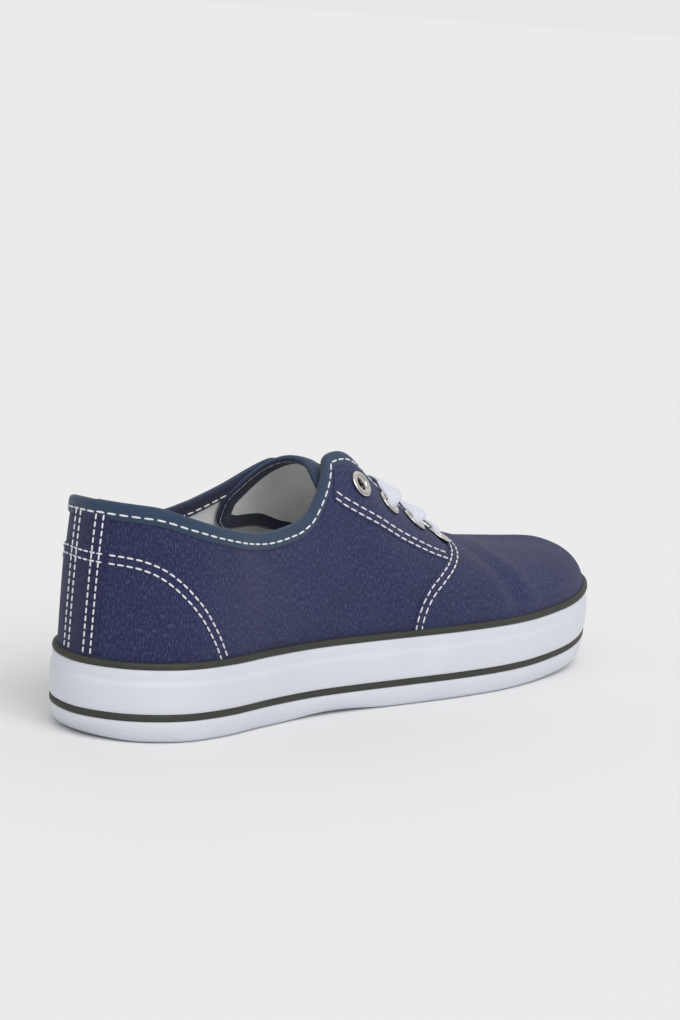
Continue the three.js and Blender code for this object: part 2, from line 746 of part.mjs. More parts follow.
function barGeometry(eyelet) {
  const path = (t) => {
    const inside = THREE.MathUtils.smoothstep(Math.min(t, 1 - t), ...LACE.barRise);
    return { over: THREE.MathUtils.lerp(LACE.overEyelet, LACE.overEdge, inside), sunk: 0 };
  };
  return ribbonGeometry(eyeletPlace(eyelet, 1), eyeletPlace(eyelet, -1), path);
}

// ---------------------------------------------------------------- assembly

const paint = (color, roughness, metalness = 0) => new THREE.MeshStandardMaterial({ color, roughness, metalness });
const MATERIALS = {
  canvas: paint('#343857', 0.9),
  lining: paint('#8b8b8b', 0.9),
  rubber: paint('#d9dbe4', 0.5),
  stripe: paint('#3d3f37', 0.6),
  lace: paint('#e8ebf5', 0.8),
  eyelet: paint('#c9c6c3', 0.25, 1),
};

const shoe = new THREE.Group();
function addPiece(name, geometry, material) {
  const mesh = new THREE.Mesh(geometry, material);
  mesh.name = name;
  shoe.add(mesh);
}

addPiece('outsole', outsoleGeometry(), MATERIALS.rubber);
addPiece('stripe_lower', stripeGeometry(), MATERIALS.stripe);
addPiece('foxing', foxingGeometry(), MATERIALS.rubber);
addPiece('stripe_upper', pipingGeometry(), MATERIALS.stripe);
addPiece('insole', insoleGeometry(), MATERIALS.lining);
addPiece('tongue', tongueGeometry(), MATERIALS.canvas);

let upper = solidOf(upperGeometry());
EYELET.places.forEach((eyelet, row) => {
  for (const [side, word] of [[1, 'medial'], [-1, 'lateral']]) {
    const place = eyeletPlace(eyelet, side);
    upper = upper.subtract(eyeletHole(place));
    shoe.add(eyeletMesh(`eyelet_${word}_${row + 1}`, place, MATERIALS.eyelet));
  }
});
addPiece('upper', geometryFrom(upper), MATERIALS.canvas);

const [, second, third, fourth] = EYELET.places;
addPiece('lace_cross_upper', crossGeometry(second, third), MATERIALS.lace);
addPiece('lace_cross_lower', crossGeometry(third, fourth), MATERIALS.lace);
addPiece('lace_bar', barGeometry(fourth), MATERIALS.lace);

// The origin goes under the middle of the box round the whole shoe.
const box = new THREE.Box3().setFromObject(shoe);
shoe.position.set(-(box.min.x + box.max.x) / 2, -(box.min.y + box.max.y) / 2, -box.min.z);

export default shoe;
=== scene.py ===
import math
from functools import lru_cache, partial

import bpy
import numpy as np
from mathutils import Matrix, Vector


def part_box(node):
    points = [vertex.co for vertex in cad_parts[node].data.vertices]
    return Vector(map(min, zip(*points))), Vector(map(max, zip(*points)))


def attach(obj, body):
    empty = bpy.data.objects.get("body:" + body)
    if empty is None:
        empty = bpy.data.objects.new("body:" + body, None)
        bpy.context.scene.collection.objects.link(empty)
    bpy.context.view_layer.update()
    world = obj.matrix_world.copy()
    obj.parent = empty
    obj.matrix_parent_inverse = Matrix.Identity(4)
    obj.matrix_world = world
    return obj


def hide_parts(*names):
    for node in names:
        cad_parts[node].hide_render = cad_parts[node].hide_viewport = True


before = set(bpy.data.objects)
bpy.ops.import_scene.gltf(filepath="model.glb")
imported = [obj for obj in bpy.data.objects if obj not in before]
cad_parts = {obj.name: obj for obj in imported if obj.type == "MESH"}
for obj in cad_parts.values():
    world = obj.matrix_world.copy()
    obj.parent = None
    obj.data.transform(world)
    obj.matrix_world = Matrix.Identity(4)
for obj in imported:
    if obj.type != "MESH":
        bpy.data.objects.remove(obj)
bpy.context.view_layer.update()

MM = 0.001
QUARTER = math.pi / 2
UP = Vector((0, 0, 1))
TOEWARDS = Vector((0, 1, 0))
SIDES = ((1, "medial"), (-1, "lateral"))

# ---------------------------------------------------------------- the shoe's sizes

GAP = 0.3  # between parts that meet
SOLE_LENGTH = 292
TOE_SPRING = 6.5  # how far the toe's tip is off the floor
SPRING_START = 205
OUTSOLE_TOP = 8.4
STRIPE_HEIGHT = 2.7
FOXING_WALL = 2.2
FOXING_TOP = 27
PIPING_TOP = 30
CUP_FLOOR = 15
INSOLE_THICKNESS = 4

SHOULDER = 27  # height at which the last starts to lean in
SKIRT_FALL = 40  # below the shoulder, a unit of angle is this far down
SWELL = 0.03  # fullness of the last's wall at half its height
WALL = 2.0
CLOTH = 1.1  # the canvas's share of the wall
LINING_DEPTH = 1.2
LINING_THICKNESS = 0.7
SKIRT = -0.2  # angle of the wall's foot, down inside the foxing

THROAT_TOP = 127
THROAT_BASE = 190
THROAT_END = 9  # length of the throat's round end
CORNER_START = THROAT_TOP - 35  # the collar turns into the throat between these two
CORNER_END = THROAT_TOP + 12
CORNER_SOFTNESS = 0.035
FLAP = 0.62  # angle below the edge over which a flap rises off the last
FLAP_CURVE = 1.7

EYELETS = [(129, 13.8), (147.5, 12.2), (164, 11.8), (180.5, 11.8)]  # from the heel, and from the throat's edge
HOLE_RADIUS = 2.9
TONGUE_DROP = 2.8  # the tongue's outer face under the last
TONGUE_THICKNESS = 2.4
TONGUE_BASE = 193
BINDING_HEIGHT = 5.8
BINDING_STITCH = 3.6  # below the edge
LACE_WIDTH = 9
LACE_HALF_THICKNESS = 0.75

# Plan of the foxing's outer face: y, medial, lateral
SOLE_PLAN = [
    (0, 0, 0),
    (4, 14.4, 14.4),
    (12, 24.2, 24.4),
    (26, 32.2, 32.8),
    (46, 35, 35.8),
    (70, 33.9, 36.4),
    (95, 34.4, 37.6),
    (120, 38, 40),
    (145, 42.6, 44),
    (170, 47, 48),
    (195, 49.6, 50.6),
    (212, 49.4, 50.4),
    (230, 47.8, 47.8),
    (248, 45, 43),
    (262, 40.6, 36.8),
    (274, 34.4, 28.6),
    (283, 26.8, 19.4),
    (289, 18, 9.4),
    (292, 4.4, -4.4),
]

# y, back, x, z, full
CROWN = [
    (0, 30, -1, 116, 0.36),
    (12, 30, -1, 114, 0.36),
    (26, 36, -1.2, 109, 0.4),
    (50, 52, -1.6, 103, 0.62),
    (75, 75, -2.2, 99.5, 0.85),
    (100, 100, -3, 98, 0.92),
    (114, 114, -3.2, 96.5, 0.94),
    (127, 127, -3.2, 93.8, 0.95),
    (147, 147, -2.8, 82, 0.95),
    (164, 164, -2.2, 72.2, 0.95),
    (182, 182, -1.2, 63.4, 0.95),
    (200, 200, 0, 58, 0.92),
    (220, 219, 2, 53, 0.88),
    (240, 236, 3.6, 49.5, 0.84),
    (260, 250, 4.6, 46.5, 0.8),
    (278, 259, 4.8, 44, 0.76),
    (289, 263, 4.8, 43, 0.75),
]

# y, medial height, lateral height
COLLAR = [
    (0, 85.6, 85.6),
    (12, 84.7, 83.2),
    (25, 80.9, 79.6),
    (40, 76.7, 74.6),
    (58, 73, 71.2),
    (70, 71.9, 70.9),
    (86, 73.4, 73.4),
    (96, 76.8, 76.2),
    (105, 82.2, 79),
    (114, 89, 83.2),
    (125, 100, 90.4),
    (140, 118, 108),
]

# y, half of the gap, medial spring, lateral spring
THROAT_GAP = [
    (96, 15.5, 0, 0),
    (114, 15, 4.6, 0.4),
    (127, 14.2, 6.6, 0.6),
    (147, 13, 4.2, 0.8),
    (165, 12.2, 2.4, 0.9),
    (180, 11.5, 1, 0.8),
    (188, 11, 0, 0),
]

# y, reach round the curve to the medial and the lateral side
TONGUE_WIDTH = [(105, 39, 50), (125, 37, 48), (150, 33, 42), (190, 20, 24)]

# The tongue's tip, from its lateral edge (-1) to its medial one (1), and its y
TONGUE_TIP = [
    (-1, 113),
    (-0.97, 107.5),
    (-0.9, 104),
    (-0.76, 104.4),
    (-0.56, 110.4),
    (-0.37, 115),
    (-0.2, 117.8),
    (0, 118.8),
    (0.2, 117.6),
    (0.36, 114.6),
    (0.5, 112.4),
    (0.7, 111),
    (0.9, 111.6),
    (0.97, 114.6),
    (1, 120),
]

# Double seams, as (y, z) on the wall. Each is the row nearest the heel or the sole.
COUNTER_SEAM = [(7.3, 66.9), (11.4, 65.8), (16.8, 62.9), (23.5, 57.2), (30.9, 49.3), (38.2, 39.3), (43.5, 30.2)]
VAMP_SEAM = [
    (144.7, 28.5),
    (145.6, 33),
    (147.3, 37.3),
    (149.8, 41.4),
    (154.4, 46),
    (162, 50.5),
    (172, 54.8),
    (182, 58.4),
]
EYESTAY_SEAM = [(111, 81.4), (126, 73.4), (138.5, 67.4), (160.5, 57.5), (171, 54)]
ROW_GAP = 2.95  # between the two rows of a seam
LATERAL_STAY_DROP = 1.6  # the lateral eyestay's seam lies this much lower
VAMP_MARGIN = 1.3  # from the vamp's edge to the first row of stitches

STRIP_HALF = 9.2  # the backstay strip, up the back of the heel
STRIP_CENTRE = -2.4  # x of its middle at the counter's seam
STRIP_FOOT = 27.5
STRIP_TOP = 82.8
STRIP_ROWS = (-6.9, -3.9, 3.9, 6.9)
COUNTER_TOP = 67.2
COUNTER_MARGIN = 1.1  # from its seam up to its edge

# ---------------------------------------------------------------- the last


def column(table, index, y):
    """Value of a column at y, on a smooth curve that never overshoots its rows."""
    last = len(table) - 1
    if y <= table[0][0]:
        return table[0][index]
    if y >= table[last][0]:
        return table[last][index]
    i = 0
    while y > table[i + 1][0]:
        i += 1

    def slope(k):
        return (table[k + 1][index] - table[k][index]) / (table[k + 1][0] - table[k][0])

    def tangent(k):
        if k == 0:
            return slope(0)
        if k == last:
            return slope(last - 1)
        a, b = slope(k - 1), slope(k)
        return 0 if a * b <= 0 else 2 * a * b / (a + b)

    span = table[i + 1][0] - table[i][0]
    t = (y - table[i][0]) / span
    return (
        (1 + 2 * t) * (1 - t) ** 2 * table[i][index]
        + t * (1 - t) ** 2 * span * tangent(i)
        + t * t * (3 - 2 * t) * table[i + 1][index]
        + t * t * (t - 1) * span * tangent(i + 1)
    )


def smooth_step(x, low, high):
    t = min(1, max(0, (x - low) / (high - low)))
    return t * t * (3 - 2 * t)


def toe_lift(y):
    t = max(0, (y - SPRING_START) / (SOLE_LENGTH - SPRING_START))
    return TOE_SPRING * t * t


TIP = len(SOLE_PLAN) - 1
TURN = 2 * TIP
OUTLINE = [Vector((m, y)) for y, m, _ in SOLE_PLAN] + [Vector((-l, y)) for y, _, l in SOLE_PLAN[-2:0:-1]]


def outline_raw(g):
    """The foxing's outline, as a closed centripetal spline. g counts rows: medial is positive."""
    p = (g % TURN + TURN) % TURN
    i = int(p)
    w = p - i
    q = [OUTLINE[(i + k) % TURN] for k in (-1, 0, 1, 2)]
    d = [max(1e-4, (q[k + 1] - q[k]).length) ** 0.5 for k in range(3)]
    t1 = ((q[1] - q[0]) / d[0] - (q[2] - q[0]) / (d[0] + d[1]) + (q[2] - q[1]) / d[1]) * d[1]
    t2 = ((q[2] - q[1]) / d[1] - (q[3] - q[1]) / (d[1] + d[2]) + (q[3] - q[2]) / d[2]) * d[1]
    return q[1] + t1 * w + (-3 * q[1] + 3 * q[2] - 2 * t1 - t2) * w**2 + (2 * q[1] - 2 * q[2] + t1 + t2) * w**3


@lru_cache(maxsize=None)
def outline_frame(g):
    p = outline_raw(g)
    t = (outline_raw(g + 0.004) - outline_raw(g - 0.004)).normalized()
    return p, t


def outline(g, inset):
    p, t = outline_frame(g)
    return Vector((p.x - t.y * inset, p.y + t.x * inset))


def halved(low, high, steps, short):
    """Closes in on the place between low and high at which short(place) turns false."""
    for _ in range(steps):
        middle = (low + high) / 2
        if short(middle):
            low = middle
        else:
            high = middle
    return (low + high) / 2


def station_at(y):
    """The medial outline place with this y."""
    return halved(0.0, float(TIP), 40, lambda g: outline_raw(g).y < y)


@lru_cache(maxsize=None)
def section(g):
    base = outline(g, FOXING_WALL + GAP)
    lift = toe_lift(base.y)
    crown = Vector((column(CROWN, 2, base.y), column(CROWN, 1, base.y), column(CROWN, 3, base.y) + lift))
    return base, crown, SHOULDER + lift, column(CROWN, 4, base.y)


def last_point(g, a):
    """The last over outline place g: a is 0 at the shoulder and a quarter turn at the crown."""
    base, crown, shoulder, full = section(g)
    if a < 0:
        return Vector((base.x, base.y, shoulder + SKIRT_FALL * a))
    out = max(0, math.cos(a)) ** full + SWELL * math.sin(2 * a) ** 2
    return Vector((
        crown.x + (base.x - crown.x) * out,
        crown.y + (base.y - crown.y) * out,
        shoulder + (crown.z - shoulder) * math.sin(a),
    ))


def wrap(g):
    """g from minus TIP to TIP."""
    return (g + TIP) % TURN - TIP


@lru_cache(maxsize=None)
def edge_angle(g):
    """Angle of the collar's or throat's edge. The two run into each other in a soft corner."""
    g = wrap(g)
    base, crown, shoulder, _ = section(g)
    y = base.y
    if y >= THROAT_BASE:
        return QUARTER
    height = column(COLLAR, 1 if g >= 0 else 2, y)
    collar = math.asin(min(1, (height - shoulder) / (crown.z - shoulder)))
    if y < CORNER_START:
        return collar
    half = column(THROAT_GAP, 1, y)
    from_end = (y - (THROAT_BASE - THROAT_END)) / THROAT_END
    if from_end > 0:
        half *= math.sqrt(max(0, 1 - from_end**2))
    throat = math.acos(min(1, half / abs(base.x - crown.x)))
    if y > CORNER_END:
        return throat
    return (collar + throat - math.hypot(collar - throat, CORNER_SOFTNESS)) / 2


# Soft troughs and ridges where worn canvas folds: side, y and z of both ends, depth, half width.
CREASES = [
    (1, 205, 36, 196, 56, 1.0, 5),
    (1, 216, 37, 210, 52, -0.7, 5),
    (-1, 204, 36, 197, 56, 1.0, 5),
    (-1, 216, 37, 212, 50, -0.6, 5),
    (1, 62, 66, 84, 50, 0.7, 7),
    (-1, 60, 62, 84, 48, 0.8, 7),
    (1, 112, 60, 132, 44, 0.6, 8),
    (-1, 110, 58, 130, 42, 0.7, 8),
    (1, 22, 77, 42, 69, 0.4, 4),
    (-1, 20, 76, 42, 66, 0.5, 5),
]
CREASE_REACH = 40  # a fold further off than this is left out


def crease(g, p):
    """How far a fold draws the canvas in at this place."""
    side = 1 if wrap(g) >= 0 else -1
    depth = 0
    for fold_side, y0, z0, y1, z1, deep, half in CREASES:
        if fold_side != side or abs(p.y - y0) > CREASE_REACH:
            continue
        dy, dz = y1 - y0, z1 - z0
        t = min(1, max(0, ((p.y - y0) * dy + (p.z - z0) * dz) / (dy * dy + dz * dz)))
        away = math.hypot(p.y - y0 - t * dy, p.z - z0 - t * dz)
        depth += deep * math.exp(-((away / half) ** 2))
    return depth


def spring(g):
    """How far the flap's edge has risen off the last."""
    return column(THROAT_GAP, 2 if wrap(g) >= 0 else 3, section(g)[0].y)


def canvas(g, a):
    """The canvas follows the last except near the throat, where the flaps rise off it."""
    p = last_point(g, a)
    share = min(1, max(0, (a - edge_angle(g) + FLAP) / FLAP))
    p.z += spring(g) * share**FLAP_CURVE
    return p


def bridge(station, turn):
    """From the medial shoulder (0) to the lateral one (pi), straight across the throat."""
    medial, lateral = edge_angle(station), math.pi - edge_angle(-station)
    if turn <= medial:
        return canvas(station, turn)
    if turn >= lateral:
        return canvas(-station, math.pi - turn)
    across = (turn - medial) / (lateral - medial)
    p = across_last(station, turn)
    p.z += spring(station) * (1 - across) + spring(-station) * across
    return p


def across_last(station, turn):
    """The last itself, from the medial shoulder (0) to the lateral one (pi)."""
    return last_point(station, turn) if turn <= QUARTER else last_point(-station, math.pi - turn)


def facing(n, way):
    """A direction, turned round if it looks away from another."""
    return -n if n.dot(way) < 0 else n


FRAME_STEP = 0.01
CORE_X, CORE_BACK, CORE_FRONT, CORE_Z = -1, 40, 255, 30  # a line inside the shoe, to tell out from in


def frame_of(surface, u, v):
    """Point and outward normal of a surface."""
    p = surface(u, v)
    along = surface(u + FRAME_STEP, v) - surface(u - FRAME_STEP, v)
    up = surface(u, v + FRAME_STEP) - surface(u, v - FRAME_STEP)
    n = along.cross(up).normalized()
    core = Vector((CORE_X, max(CORE_BACK, min(CORE_FRONT, p.y)), CORE_Z))
    return p, facing(n, p - core)


NEAR_CROWN = QUARTER - 0.08  # the normals fold over above this


def wall_point(g, a, offset=0.0):
    """A point on the creased canvas, or offset from it along its normal."""
    p = canvas(g, a)
    n = frame_of(canvas, g, min(a, NEAR_CROWN))[1]
    return p + n * (offset - crease(g, p))


def run_lengths(points):
    """Length from the first point to each, along them."""
    lengths = [0.0]
    for a, b in zip(points, points[1:]):
        lengths.append(lengths[-1] + (b - a).length)
    return lengths


GIRTH_STEPS = 48


@lru_cache(maxsize=None)
def girth(g):
    """Angles up one column and the length of canvas from the shoulder to each."""
    angles = [edge_angle(g) * i / GIRTH_STEPS for i in range(GIRTH_STEPS + 1)]
    return angles, run_lengths([canvas(g, a) for a in angles])


def rise(g, a):
    """Length of canvas from the shoulder up to an angle."""
    angles, lengths = girth(g)
    return float(np.interp(a, angles, lengths)) if a >= 0 else SKIRT_FALL * a


def below_edge(g, depth):
    """Angle at a depth under the top edge, along the canvas."""
    angles, lengths = girth(g)
    return float(np.interp(lengths[-1] - depth, lengths, angles))


ARC_PLACES = [k * 0.05 for k in range(int(TURN / 0.05) + 1)]
ARC = run_lengths([outline_raw(g) for g in ARC_PLACES])


def wall_cloth(g, a):
    """Place on the flat cloth, from the heel's seam round to the toe and from the sole up."""
    around = float(np.interp(g % TURN, ARC_PLACES, ARC))
    return around if wrap(g) >= 0 else around - ARC[-1], rise(g, a)


ROW_LENGTH = 14  # of the outline, about
HEEL_ROW = 20  # the same behind the heel, with room to close in slowly


def height_angle(g, z):
    """Angle at which the canvas reaches a height."""
    return halved(-0.1, edge_angle(g), 18, lambda a: canvas(g, a).z < z)


def on_wall(y, z, side):
    """g and angle of the place on the wall at this y and z."""
    g = side * station_at(y)
    for _ in range(8):
        a = height_angle(g, z)
        g += side * (y - canvas(g, a).y) / ROW_LENGTH
    return g, a


def on_heel(x, z):
    """g and angle of the place behind the heel at this x and z."""
    g = x / ROW_LENGTH
    for _ in range(12):
        a = height_angle(g, z)
        g += (x - canvas(g, a).x) / HEEL_ROW
    return g, a


# ---------------------------------------------------------------- placing and making

REACHES = [outline_raw(k / 2).x for k in range(2 * TURN)]
FOXING_LOW, FOXING_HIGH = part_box("foxing")
SHIFT = Vector((
    (FOXING_LOW[0] + FOXING_HIGH[0]) / 2 / MM - (min(REACHES) + max(REACHES)) / 2,
    (FOXING_LOW[1] + FOXING_HIGH[1]) / 2 / MM - SOLE_LENGTH / 2,
    0,
))


def placed(p):
    """A point of the shoe in the row frame, in metres."""
    return (Vector(p) + SHIFT) * MM


def select(*pieces):
    """Selects these and nothing else, with the first one active."""
    if bpy.context.object and bpy.context.object.mode != "OBJECT":
        bpy.ops.object.mode_set(mode="OBJECT")
    bpy.ops.object.select_all(action="DESELECT")
    for piece in pieces:
        piece.select_set(True)
    if pieces:
        bpy.context.view_layer.objects.active = pieces[0]


def apply_modifiers(piece):
    select(piece)
    for modifier in list(piece.modifiers):
        bpy.ops.object.modifier_apply(modifier=modifier.name)


def edit_all(piece, operation, **settings):
    """Does one thing to the whole mesh in edit mode."""
    select(piece)
    bpy.ops.object.mode_set(mode="EDIT")
    bpy.ops.mesh.select_all(action="SELECT")
    operation(**settings)
    bpy.ops.object.mode_set(mode="OBJECT")


def merge_doubles(piece, distance=0.01):
    edit_all(piece, bpy.ops.mesh.remove_doubles, threshold=distance * MM)


def face_out(piece):
    edit_all(piece, bpy.ops.mesh.normals_make_consistent, inside=False)


def soften(piece, levels=1):
    smooth = piece.modifiers.new("soften", "SUBSURF")
    smooth.levels = smooth.render_levels = levels
    apply_modifiers(piece)


def round_edges(piece, width):
    edge = piece.modifiers.new("edge", "BEVEL")
    edge.width = width * MM
    edge.segments = 2
    edge.limit_method = "ANGLE"
    edge.angle_limit = math.radians(50)


def cut_out(pieces, cutters):
    """Joins the cutters and takes them out of each piece."""
    select(*cutters)
    bpy.ops.object.join()
    cutter = bpy.context.object
    for piece in pieces:
        cut = piece.modifiers.new("cut", "BOOLEAN")
        cut.object = cutter
        cut.solver = "EXACT"
        apply_modifiers(piece)
    bpy.data.objects.remove(cutter)


def laid_grid(name, columns, rows, place, cloth=None):
    """A grid laid on a surface. place(u, v) gives the point, cloth(u, v) its place on the flat cloth."""
    select()
    bpy.ops.mesh.primitive_grid_add(x_subdivisions=columns, y_subdivisions=rows, size=1, calc_uvs=True)
    piece = bpy.context.object
    piece.name = piece.data.name = name
    mesh = piece.data
    spots = [(v.co.x + 0.5, v.co.y + 0.5) for v in mesh.vertices]
    if cloth:
        flat = [cloth(u, v) for u, v in spots]
        layer = mesh.uv_layers.active.data
        for loop in mesh.loops:
            layer[loop.index].uv = Vector(flat[loop.vertex_index]) * MM
    for vertex, (u, v) in zip(mesh.vertices, spots):
        vertex.co = placed(place(u, v))
    mesh.update()
    return piece


def swept(name, sections, lengths, round_cloth, closed=False):
    """A tube or folded tape laid through sections, whose cloth is round_cloth wide."""
    columns = len(sections) - 1
    rows = len(sections[0]) - (0 if closed else 1)

    def place(u, v):
        return sections[round(u * columns)][round(v * rows) % len(sections[0])]

    return laid_grid(name, columns, rows, place, lambda u, v: (lengths[round(u * columns)], v * round_cloth))


def thicken(piece, thickness, bevel=0.0):
    """Gives a skin its thickness in mm, inwards."""
    solid = piece.modifiers.new("thickness", "SOLIDIFY")
    solid.thickness = thickness * MM
    solid.offset = -1
    if bevel:
        round_edges(piece, bevel)
    apply_modifiers(piece)


def finish(piece, material, slot, *nodes, smooth=50):
    """Material, shading, body and what the piece stands for."""
    if not piece.data.materials:
        piece.data.materials.append(material)
    select(piece)
    bpy.ops.object.shade_smooth_by_angle(angle=math.radians(smooth))
    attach(piece, "root")
    if nodes:
        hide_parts(*nodes)


# ---------------------------------------------------------------- materials


def linear(code):
    """sRGB hex to linear RGBA."""
    parts = [int(code[i : i + 2], 16) / 255 for i in (1, 3, 5)]
    return tuple(c / 12.92 if c <= 0.04045 else ((c + 0.055) / 1.055) ** 2.4 for c in parts) + (1.0,)


def connect(tree, node, inputs):
    """Links each input that is given a socket, and stores any other value in it."""
    for key, value in inputs.items():
        if isinstance(value, bpy.types.NodeSocket):
            tree.links.new(value, node.inputs[key])
        else:
            node.inputs[key].default_value = value


def add(tree, kind, inputs=None, **settings):
    """Adds a node with its settings and links, and gives its outputs."""
    node = tree.nodes.new("ShaderNode" + kind)
    for key, value in settings.items():
        setattr(node, key, value)
    connect(tree, node, inputs or {})
    return node.outputs


# A Mix node's sockets when it mixes colours, and a Map Range node's.
A, B, MIXED = 6, 7, 2
LOW, HIGH, TO_LOW, TO_HIGH = 1, 2, 3, 4


def new_material(name):
    """A material with its node tree and shader, what adds a node to it, and a point on the object in metres."""
    material = bpy.data.materials.new(name)
    material.use_nodes = True
    tree = material.node_tree
    node = partial(add, tree)
    return material, tree, tree.nodes["Principled BSDF"], node, node("TexCoord")["Object"]


def plain_weave(name, dark, base, light, thread, bump, fleck=0.35, turned=False):
    """Plain weave: threads pass over and under each other, so the crowns catch light and gaps are dark.

    thread is the spacing of the threads in mm."""
    material, tree, shader, node, point = new_material(name)
    uv = node("UVMap")[0]
    across, along, _ = node("SeparateXYZ", {0: uv})
    waves = []
    for way in (along, across) if turned else (across, along):
        turns = node("Math", {0: way, 1: math.pi / (thread * MM)}, operation="MULTIPLY")[0]
        waves.append(node("Math", {0: turns}, operation="SINE")[0])
    warp, weft = (node("Math", {0: wave}, operation="ABSOLUTE")[0] for wave in waves)
    sign = node("Math", {0: waves[0], 1: waves[1]}, operation="MULTIPLY")[0]
    over = node("Math", {0: sign, 1: 0.0}, operation="GREATER_THAN")[0]
    relief = node("Mix", {0: over, 2: weft, 3: warp}, data_type="FLOAT")[0]
    # Slubs: the yarn is uneven along its length, and so pale in places.
    stretched = node("Mapping", {"Vector": uv, "Scale": (1 / (0.7 * MM), 1 / (1.7 * MM), 1)})[0]
    slub = node("TexNoise", {"Vector": stretched, "Scale": 1.0, "Detail": 3.0})[0]
    gaps = node("MapRange", {0: relief, LOW: 0.15, HIGH: 0.95})[0]
    cloth = node("Mix", {0: gaps, A: linear(dark), B: linear(base)}, data_type="RGBA")[MIXED]
    thick = node("MapRange", {0: slub, LOW: 0.48, HIGH: 0.72})[0]
    crowns = node("Math", {0: thick, 1: relief}, operation="MULTIPLY")[0]
    pale = node("Math", {0: crowns, 1: fleck}, operation="MULTIPLY")[0]
    flecked = node("Mix", {0: pale, A: cloth, B: linear(light)}, data_type="RGBA")[MIXED]
    # Patches about an inch across took the dye differently.
    patch = node("TexNoise", {"Vector": point, "Scale": 1 / (26.3 * MM), "Detail": 2.0})[0]
    shade = node("MapRange", {0: patch, LOW: 0.3, HIGH: 0.7, TO_LOW: 0.93, TO_HIGH: 1.07})[0]
    tone = node("HueSaturation", {"Value": shade, "Color": flecked})[0]
    lumps = node("Math", {0: slub, 1: 0.8}, operation="MULTIPLY")[0]
    height = node("Math", {0: relief, 1: lumps}, operation="ADD")[0]
    normal = node("Bump", {"Strength": bump, "Distance": 0.25 * MM, "Height": height})[0]
    connect(tree, shader, {"Base Color": tone, "Normal": normal, "Roughness": 0.88, "Specular IOR Level": 0.25,
                           "Sheen Weight": 0.12, "Sheen Roughness": 0.5})
    return material


def moulded_rubber(name, low, high, roughness, depth=0.0):
    """Vulcanised rubber: faintly mottled, with the mould's fine grain. depth is how much light enters it."""
    material, tree, shader, node, point = new_material(name)
    mottle = node("TexNoise", {"Vector": point, "Scale": 1 / (22.2 * MM), "Detail": 4.0})[0]
    tint = node("MapRange", {0: mottle, LOW: 0.35, HIGH: 0.7})[0]
    colour = node("Mix", {0: tint, A: linear(low), B: linear(high)}, data_type="RGBA")[MIXED]
    dull = node("MapRange", {0: mottle, LOW: 0.3, HIGH: 0.7,
                             TO_LOW: roughness - 0.05, TO_HIGH: roughness + 0.07})[0]
    grain = node("TexNoise", {"Vector": point, "Scale": 1 / (0.625 * MM), "Detail": 2.0})[0]
    normal = node("Bump", {"Strength": 0.12, "Distance": 0.1 * MM, "Height": grain})[0]
    connect(tree, shader, {"Base Color": colour, "Roughness": dull, "Normal": normal, "IOR": 1.52,
                           "Subsurface Weight": depth, "Subsurface Radius": (4 * MM, 4 * MM, 5 * MM),
                           "Subsurface Scale": 0.3})
    return material


def ribbed_tape(name, dark, light, rib):
    """Woven cotton tape with fine slanted ribs across it, and fuzz. rib is their spacing in mm."""
    material, tree, shader, node, point = new_material(name)
    across, along, _ = node("SeparateXYZ", {0: node("UVMap")[0]})
    lean = node("Math", {0: along, 1: 0.35}, operation="MULTIPLY")[0]
    slant = node("Math", {0: across, 1: lean}, operation="ADD")[0]
    turns = node("Math", {0: slant, 1: 2 * math.pi / (rib * MM)}, operation="MULTIPLY")[0]
    wave = node("Math", {0: turns}, operation="SINE")[0]
    ribs = node("MapRange", {0: wave, LOW: -1.0, HIGH: 1.0, TO_HIGH: 0.25})[0]
    fuzz = node("TexNoise", {"Vector": point, "Scale": 1 / (1.43 * MM), "Detail": 3.0})[0]
    soft = node("Math", {0: fuzz, 1: 0.75}, operation="MULTIPLY")[0]
    height = node("Math", {0: ribs, 1: soft}, operation="ADD")[0]
    share = node("MapRange", {0: height, LOW: 0.25, HIGH: 0.75})[0]
    colour = node("Mix", {0: share, A: linear(dark), B: linear(light)}, data_type="RGBA")[MIXED]
    normal = node("Bump", {"Strength": 0.35, "Distance": 0.15 * MM, "Height": height})[0]
    connect(tree, shader, {"Base Color": colour, "Normal": normal, "Roughness": 0.8, "Specular IOR Level": 0.3,
                           "Sheen Weight": 0.15})
    return material


def rolled_metal(name, dark, light):
    """Plated steel, stamped and rolled: a metal mirror made soft by fine scratches."""
    material, tree, shader, node, point = new_material(name)
    wear = node("TexNoise", {"Vector": point, "Scale": 1 / (1.11 * MM), "Detail": 3.0})[0]
    dull = node("MapRange", {0: wear, LOW: 0.3, HIGH: 0.7, TO_LOW: 0.18, TO_HIGH: 0.3})[0]
    colour = node("Mix", {0: wear, A: linear(dark), B: linear(light)}, data_type="RGBA")[MIXED]
    connect(tree, shader, {"Base Color": colour, "Roughness": dull, "Metallic": 1.0})
    return material


# Matt navy with pale flecks. Real threads are about 0.55 mm apart, drawn at 0.66 so that they show.
CANVAS = plain_weave("navy_cotton_canvas_woven", "#171A34", "#2E345E", "#8388B0", 0.66, 0.5)
# The same canvas cut across for the backstay strip, its threads upright. Its colours are a touch darker:
# painted shade of the heel's back, which faces away from the key light.
STRIP_CANVAS_SHADED = plain_weave("navy_cotton_canvas_cut_across_painted_shade", "#171931", "#2A2E55", "#70759C", 0.66, 0.5, turned=True)
# Smooth tape, bluer and calmer than the canvas. A darker, less blue copy of it on the tape's inner half is
# painted shade.
TAPE = ribbed_tape("slate_navy_cotton_tape_face", "#2A3A52", "#34465F", 0.5)
TAPE_SHADED_COPY = ribbed_tape("navy_cotton_tape_painted_shade", "#1D2036", "#262942", 0.5)
# A thin pale cotton, brushed so that the weave hardly shows. It looks grey in the shoe's own shade.
LINING = plain_weave("pale_cotton_lining_brushed", "#E2E3E3", "#EEEFEF", "#F8F9F9", 0.5, 0.1, fleck=0.2)
